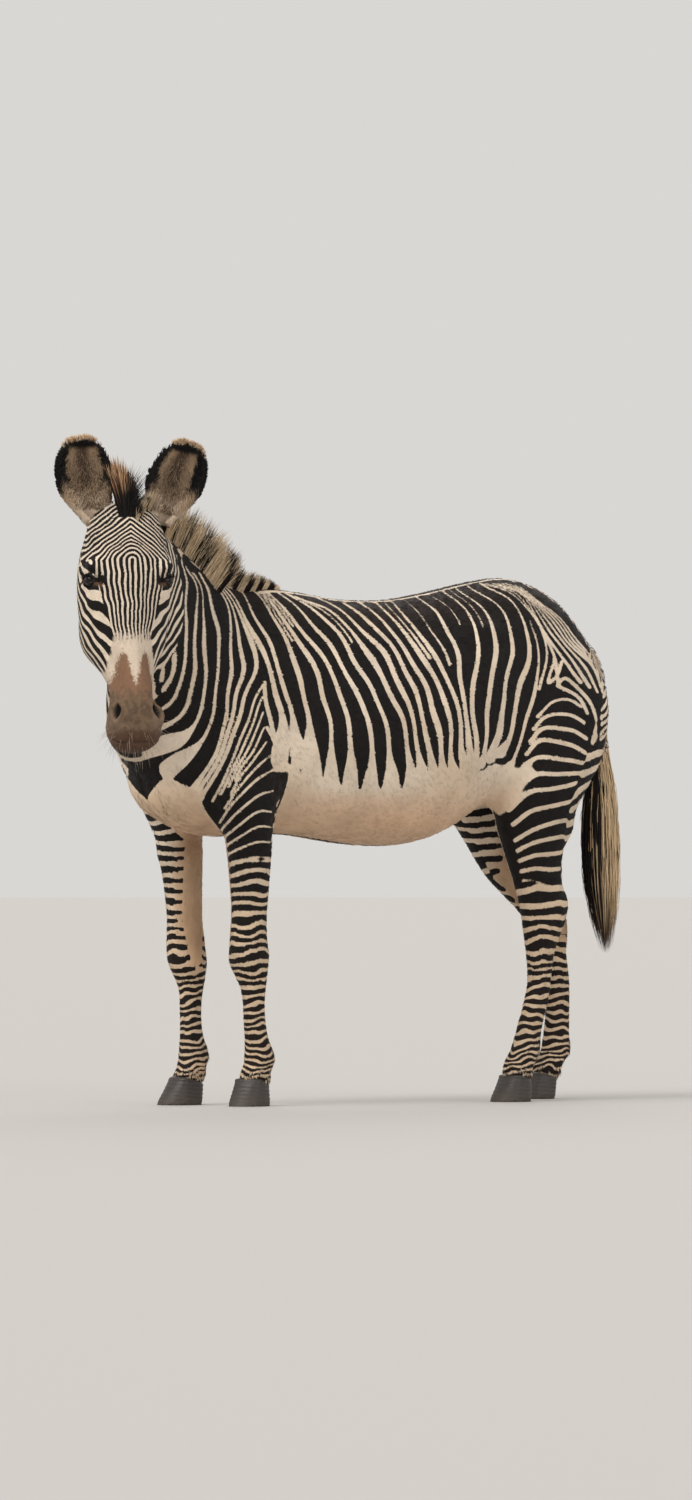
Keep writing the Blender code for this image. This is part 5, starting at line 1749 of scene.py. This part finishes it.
# %% Ears
INNER_LOCKS = 2600
RIM_LOCKS = 2400
steps = np.linspace(0, 1, 4)[None, :, None]
for name, (low_end, rise_way, opening, wide_way, length) in ear_axes.items():
    mine = is_part[name][quads[:, 0]] & (((face_points - low_end) @ rise_way) > 0.02)
    ear_up = (face_points - low_end) @ rise_way / length
    inside_of_ear = mine & (face_normals @ opening > 0.1)
    place, normal, map_place, corner_near = roots_on(inside_of_ear * (1.15 - ear_up), INNER_LOCKS)
    up_ear = (place - low_end) @ rise_way / length
    aside = (place - low_end) @ wide_way
    aside -= np.median(aside)
    way = rise_way * 0.8 - wide_way * (aside / 0.05)[:, None] * 0.35 + normal * 0.35
    way = unit_rows(way + dice.normal(0, 0.22, (len(place), 3)))
    long = dice.uniform(0.012, 0.034, len(place)) * np.interp(up_ear, (0, 0.5, 1), (1.2, 0.9, 0.55))
    drop = normal[:, None] * (long[:, None, None] * 0.22 * steps**2)
    lines = place[:, None] + way[:, None] * long[:, None, None] * steps - drop
    widths = np.array([0.0011, 0.0013, 0.0009, 0.0])[None] * dice.uniform(0.7, 1.3, (len(place), 1))
    fair_share = dice.random((len(place), 1)) ** 1.5 * smoothstep(0.93, 0.75, up_ear)[:, None]
    fair_share = fair_share * (1 - ear_rim[corner_near])[:, None]
    colour = blend(pale_hair[corner_near], linear("B59C82"), fair_share)
    all_pale = np.ones(len(place))
    make_locks(name + "_inner_hair", "coat", lines, wide_way, widths, 0.6, all_pale, colour, colour,
               map_place)

    off = (face_points - low_end) @ wide_way
    band = np.clip((ear_up * EAR_BANDS).astype(int), 0, EAR_BANDS - 1)
    centre = per_band(mine, band, off, np.median, 0.0)
    from_centre = abs(off - centre[band])
    edge_share = from_centre / per_band(mine, band, from_centre, np.max, 0.05)[band]
    on_rim = mine & ((edge_share > 0.90) | (ear_up > 0.955)) & (ear_up > 0.12)
    place, normal, map_place, corner_near = roots_on(on_rim * (1 + 1.5 * (ear_up > 0.93)), RIM_LOCKS)
    up_ear = (place - low_end) @ rise_way / length
    aside = (place - low_end) @ wide_way - np.interp(up_ear, band_middles, centre)
    outward_way = unit_rows(aside[:, None] * wide_way)
    way = outward_way * np.interp(up_ear, (0, 0.8, 1), (0.9, 0.8, 0.3))[:, None] + rise_way * 0.9
    way = unit_rows(way + normal * 0.2 + dice.normal(0, 0.12, (len(place), 3)))
    fringe = smoothstep(0.87, 0.93, up_ear + dice.normal(0, 0.015, len(place)))
    long = dice.uniform(0.007, 0.012, len(place)) * (1 + 0.55 * fringe)
    lines = place[:, None] - normal[:, None] * 0.001 + way[:, None] * long[:, None, None] * steps
    widths = np.array([0.0013, 0.0014, 0.0010, 0.0])[None] * dice.uniform(0.6, 1.1, (len(place), 1))
    widths = widths * (1 - 0.35 * fringe[:, None])
    cream_or_rust = np.where(dice.random((len(place), 1)) < 0.55, linear("E6D0B2"), linear("C79F78"))
    pale_base = smoothstep(0.34, 0.20, up_ear)[:, None]
    colour = blend(blend(NEAR_BLACK, linear("BFA68C"), pale_base), cream_or_rust, fringe[:, None])
    all_pale = np.ones(len(place))
    make_locks(name + "_rim_hair", "coat", lines, normal[:, None], widths, 0.6, all_pale, colour, colour,
               map_place)

# %% [markdown]
# ## Whiskers and lashes
# Single stiff hairs grow on the lips and chin, six in ten painted pale for the light they catch and the
# rest dark, and long dark lashes on the upper lid.

# %% Whiskers and lashes
WHISKERS = 110
LASHES = 34
steps = np.linspace(0, 1, 5)[None, :, None]
whisker_zone = is_part["head"][quads[:, 0]] & (lock_head[:, 2] < -0.615)
whisker_zone &= between(0.0, lock_head[:, 1], 0.14)
whisker_density = whisker_zone * (lock_head[:, 2] < -0.64) + 0.25 * whisker_zone
place, normal, map_place, corner_near = roots_on(whisker_density, WHISKERS)
long = dice.uniform(0.018, 0.055, len(place))
way = unit_rows(normal + dice.normal(0, 0.25, (len(place), 3)) - UP * 0.25)
sag = UP * (long[:, None, None] * 0.25 * steps**2)
lines = place[:, None] + way[:, None] * long[:, None, None] * steps - sag
widths = np.array([0.00028, 0.00026, 0.00022, 0.00015, 0.0])[None] * np.ones((len(place), 1))
# Six in ten whiskers are painted pale as a painted glint of light; the rest are dark.
colour = np.where(dice.random((len(place), 1)) < 0.6, linear("CDBEAE"), linear("3A2C24"))
all_pale = np.ones(len(place))
make_locks("whiskers", "coat", lines, to_left, widths, 1.0, all_pale, colour, colour, map_place)

lash_lines, lash_sides = [], []
for side, hand_of in BOTH_EYES:
    look, front, upper = eye_frame(hand_of)
    for share in np.linspace(-0.85, 0.80, LASHES):
        u = share * OPENING[0]
        v = RIM_OUTSIDE * OPENING[1] * (1 - NARROWING * abs(share) ** 2) * math.sqrt(1 - share**2)
        v -= SLANT * u
        root = eye_centres[side] + on_ball(hand_of, u, v) * (EYE_RADIUS + 0.0022)
        long_lash = dice.uniform(0.011, 0.019)
        go = look * 0.9 + upper * 0.05 + front * share * 0.5
        lash_lines.append([root + go * long_lash * s - UP * long_lash * 0.35 * s
                           + UP * 0.30 * long_lash * s * s for s in steps.ravel()])
        lash_sides.append(front)
lash_lines = np.array(lash_lines)
near_lash = nearest(lash_lines[:, 0])
first_face = np.zeros(len(points), int)
first_face[quads[:, 0]] = np.arange(len(quads))
lash_map = face_uv[first_face[near_lash], 0]
colour = np.tile(NEAR_BLACK, (len(lash_lines), 1))
widths = np.array([[0.0005, 0.0005, 0.0004, 0.0003, 0.0]])
make_locks("lashes", "coat", lash_lines, np.array(lash_sides)[:, None], widths, 0.8,
           np.ones(len(lash_lines)), colour, colour, lash_map)

# %% [markdown]
# ## Short coat
# The coat itself is a centimetre of close hair. Its look is mostly in the bump, but a bare mesh has a
# hard outline. Tens of thousands of small flat tufts, laid along the lie of the hair and lifted by two or
# three millimetres, break the outline and catch the light on every side. Each vertex takes the marking of
# the hide right under it, so the stripes stay crisp.

# %% Tufts over the whole body
#        part: (tufts, length, half width, lift), in metres
COAT = {
    "head": (17000, 0.0080, 0.0007, 0.0006),
    "neck": (17000, 0.0110, 0.0011, 0.0011),
    "trunk": (21000, 0.0150, 0.0016, 0.0015),
    "tail_dock": (1500, 0.0220, 0.0016, 0.0060),
    "ear": (3000, 0.0080, 0.0010, 0.0018),
    "foreleg": (5500, 0.0100, 0.0010, 0.0010),
    "hindleg": (6500, 0.0105, 0.0011, 0.0010),
}
LEG_LIE = [0.0, 0.20, -1.0]
DOCK_LIE = [0.0, 0.45, -1.0]


def lie_of_hair(name, place):
    if name == "head":
        return np.tile(-head_axes[2], (len(place), 1))
    if name in ear_axes:
        return np.tile(ear_axes[name][1], (len(place), 1))
    if "leg" in name:
        return np.tile(LEG_LIE, (len(place), 1))
    if name == "tail_dock":
        return np.tile(DOCK_LIE, (len(place), 1))
    down = smoothstep(1.35, 0.95, place[:, 2])
    return np.stack([np.zeros(len(place)), 1 - 0.35 * down, -0.30 - 0.45 * down], 1)


furred = np.where(lid_share < 1.5, 0.0, 1.0) * (1 - around_nostril)
for name in FLESH:
    tufts, long, half_wide, lift = COAT[without_side(name)]
    density = (face_part == FLESH.index(name)) * furred[quads[:, 0]]
    if "leg" in name:
        density = density * (1 + 0.8 * smoothstep(0.45, 0.10, face_points[:, 2]))
    if name == "head":
        density = density * (1 + 0.8 * smoothstep(0.12, 0.07, abs(lock_head[:, 0])))
    place, normal, map_place, corner_near = roots_on(density, tufts)
    lie = lie_of_hair(name, place) + dice.normal(0, 0.16, (tufts, 3))
    lie = unit_rows(lie - normal * (lie * normal).sum(1, keepdims=True))
    lengths = long * dice.uniform(0.7, 1.25, tufts)
    shaggy = np.ones(tufts)
    if name == "trunk":
        under_belly = smoothstep(0.10, 0.04, abs(in_body(place)[:, 0]))
        shaggy = 1 + 0.9 * smoothstep(0.92, 0.84, place[:, 2]) * under_belly
    if "leg" in name:
        fetlock = smoothstep(0.20, 0.17, place[:, 2]) * smoothstep(0.12, 0.15, place[:, 2])
        shaggy = 1 + 1.2 * smoothstep(0.115, 0.085, place[:, 2]) + fetlock * (normal[:, 1] > 0.5)
    lengths = lengths * shaggy
    lifts = (lift * dice.uniform(0.5, 1.3, tufts) * (0.6 + 0.4 * shaggy))[:, None]
    side = np.cross(normal, lie)
    lines = np.stack([place - normal * 0.0006, place + lie * lengths[:, None] * 0.5 + normal * lifts,
                      place + lie * lengths[:, None] + normal * lifts * 0.8], 1)
    at = np.stack([corner_near, *(nearest(lines[:, i] - normal * lifts) for i in (1, 2))], 1)
    widths = np.array([0.8, 1.0, 0.0])[None] * (half_wide * dice.uniform(0.7, 1.3, (tufts, 1)))
    make_locks("fur_" + name, "coat", lines, side[:, None], widths, 0.35, stripe[at], pale_hair[at],
               dark_hair[at], map_place, facing_way=normal)

# %% [markdown]
# ## Floor, light and camera
# A wide pale floor lies under a pale, even sky. One broad soft light stands high on the viewer's left, a
# weaker one fills from the right, and a third stands behind, for the far edges. The camera is far off and
# level, 53 degrees round from the chest, so the proportions stay true.

# %% Studio
def add_sun(name, where, toward, power, colour):
    """A soft sun: as wide as a window on an overcast day, so the shadows have no hard edge."""
    lamp = bpy.data.lights.new(name, "SUN")
    lamp.energy = power
    lamp.angle = math.radians(35)
    lamp.color = colour
    holder = bpy.data.objects.new(name, lamp)
    holder.location = where
    holder.rotation_euler = (Vector(toward) - Vector(where)).to_track_quat("-Z", "Y").to_euler()
    bpy.context.scene.collection.objects.link(holder)


floor_shape = bmesh.new()
bmesh.ops.create_grid(floor_shape, x_segments=1, y_segments=1, size=150)
floor = new_piece("floor", floor_shape)
floor.location.z = -0.0005
floor_material, floor_tree, floor_surface = new_material("pale_floor")
floor_surface.inputs["Base Color"].default_value = (*linear("BBB8B4"), 1)
floor_surface.inputs["Roughness"].default_value = 0.9
floor.data.materials.append(floor_material)

world = bpy.data.worlds.new("studio")
world.use_nodes = True
world.node_tree.nodes["Background"].inputs["Color"].default_value = (*linear("E9E7E4"), 1)
world.node_tree.nodes["Background"].inputs["Strength"].default_value = 0.85
bpy.context.scene.world = world
centre_of_body = (0, 0, 1.0)
add_sun("key", (1.0, -5.0, 6.0), centre_of_body, 1.7, (1.0, 0.97, 0.93))
add_sun("fill", (6.0, 0.5, 2.5), centre_of_body, 0.55, (1.0, 0.98, 0.96))
add_sun("back", (-4.5, 4.5, 4.5), centre_of_body, 0.7, (1.0, 1.0, 1.0))

CAMERA_AWAY = 30.0
CAMERA_HEIGHT = 0.7
LENS = 248.4
camera_data = bpy.data.cameras.new("camera")
camera_data.sensor_fit = "VERTICAL"
camera_data.sensor_height = 36
camera_data.lens = LENS
camera_data.shift_x = -0.022
camera_data.shift_y = 0.074
camera_data.clip_end = 200
camera = bpy.data.objects.new("camera", camera_data)
toward_camera = Vector((math.sin(VIEW_TURN), -math.cos(VIEW_TURN), 0))
camera.location = Vector(MIDLINE) + toward_camera * CAMERA_AWAY + Vector((0, 0, CAMERA_HEIGHT))
camera.rotation_euler = (-toward_camera).to_track_quat("-Z", "Y").to_euler()
bpy.context.scene.collection.objects.link(camera)
bpy.context.scene.camera = camera
bpy.context.scene.view_settings.view_transform = "Standard"
print("camera at", [round(v, 2) for v in camera.location])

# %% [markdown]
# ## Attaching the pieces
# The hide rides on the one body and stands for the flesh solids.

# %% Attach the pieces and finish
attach(hide, "root")
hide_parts(*FLESH)
for piece, slot_name, stands_for in other_pieces + hair_pieces:
    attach(piece, "root")
    if stands_for:
        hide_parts(*stands_for)
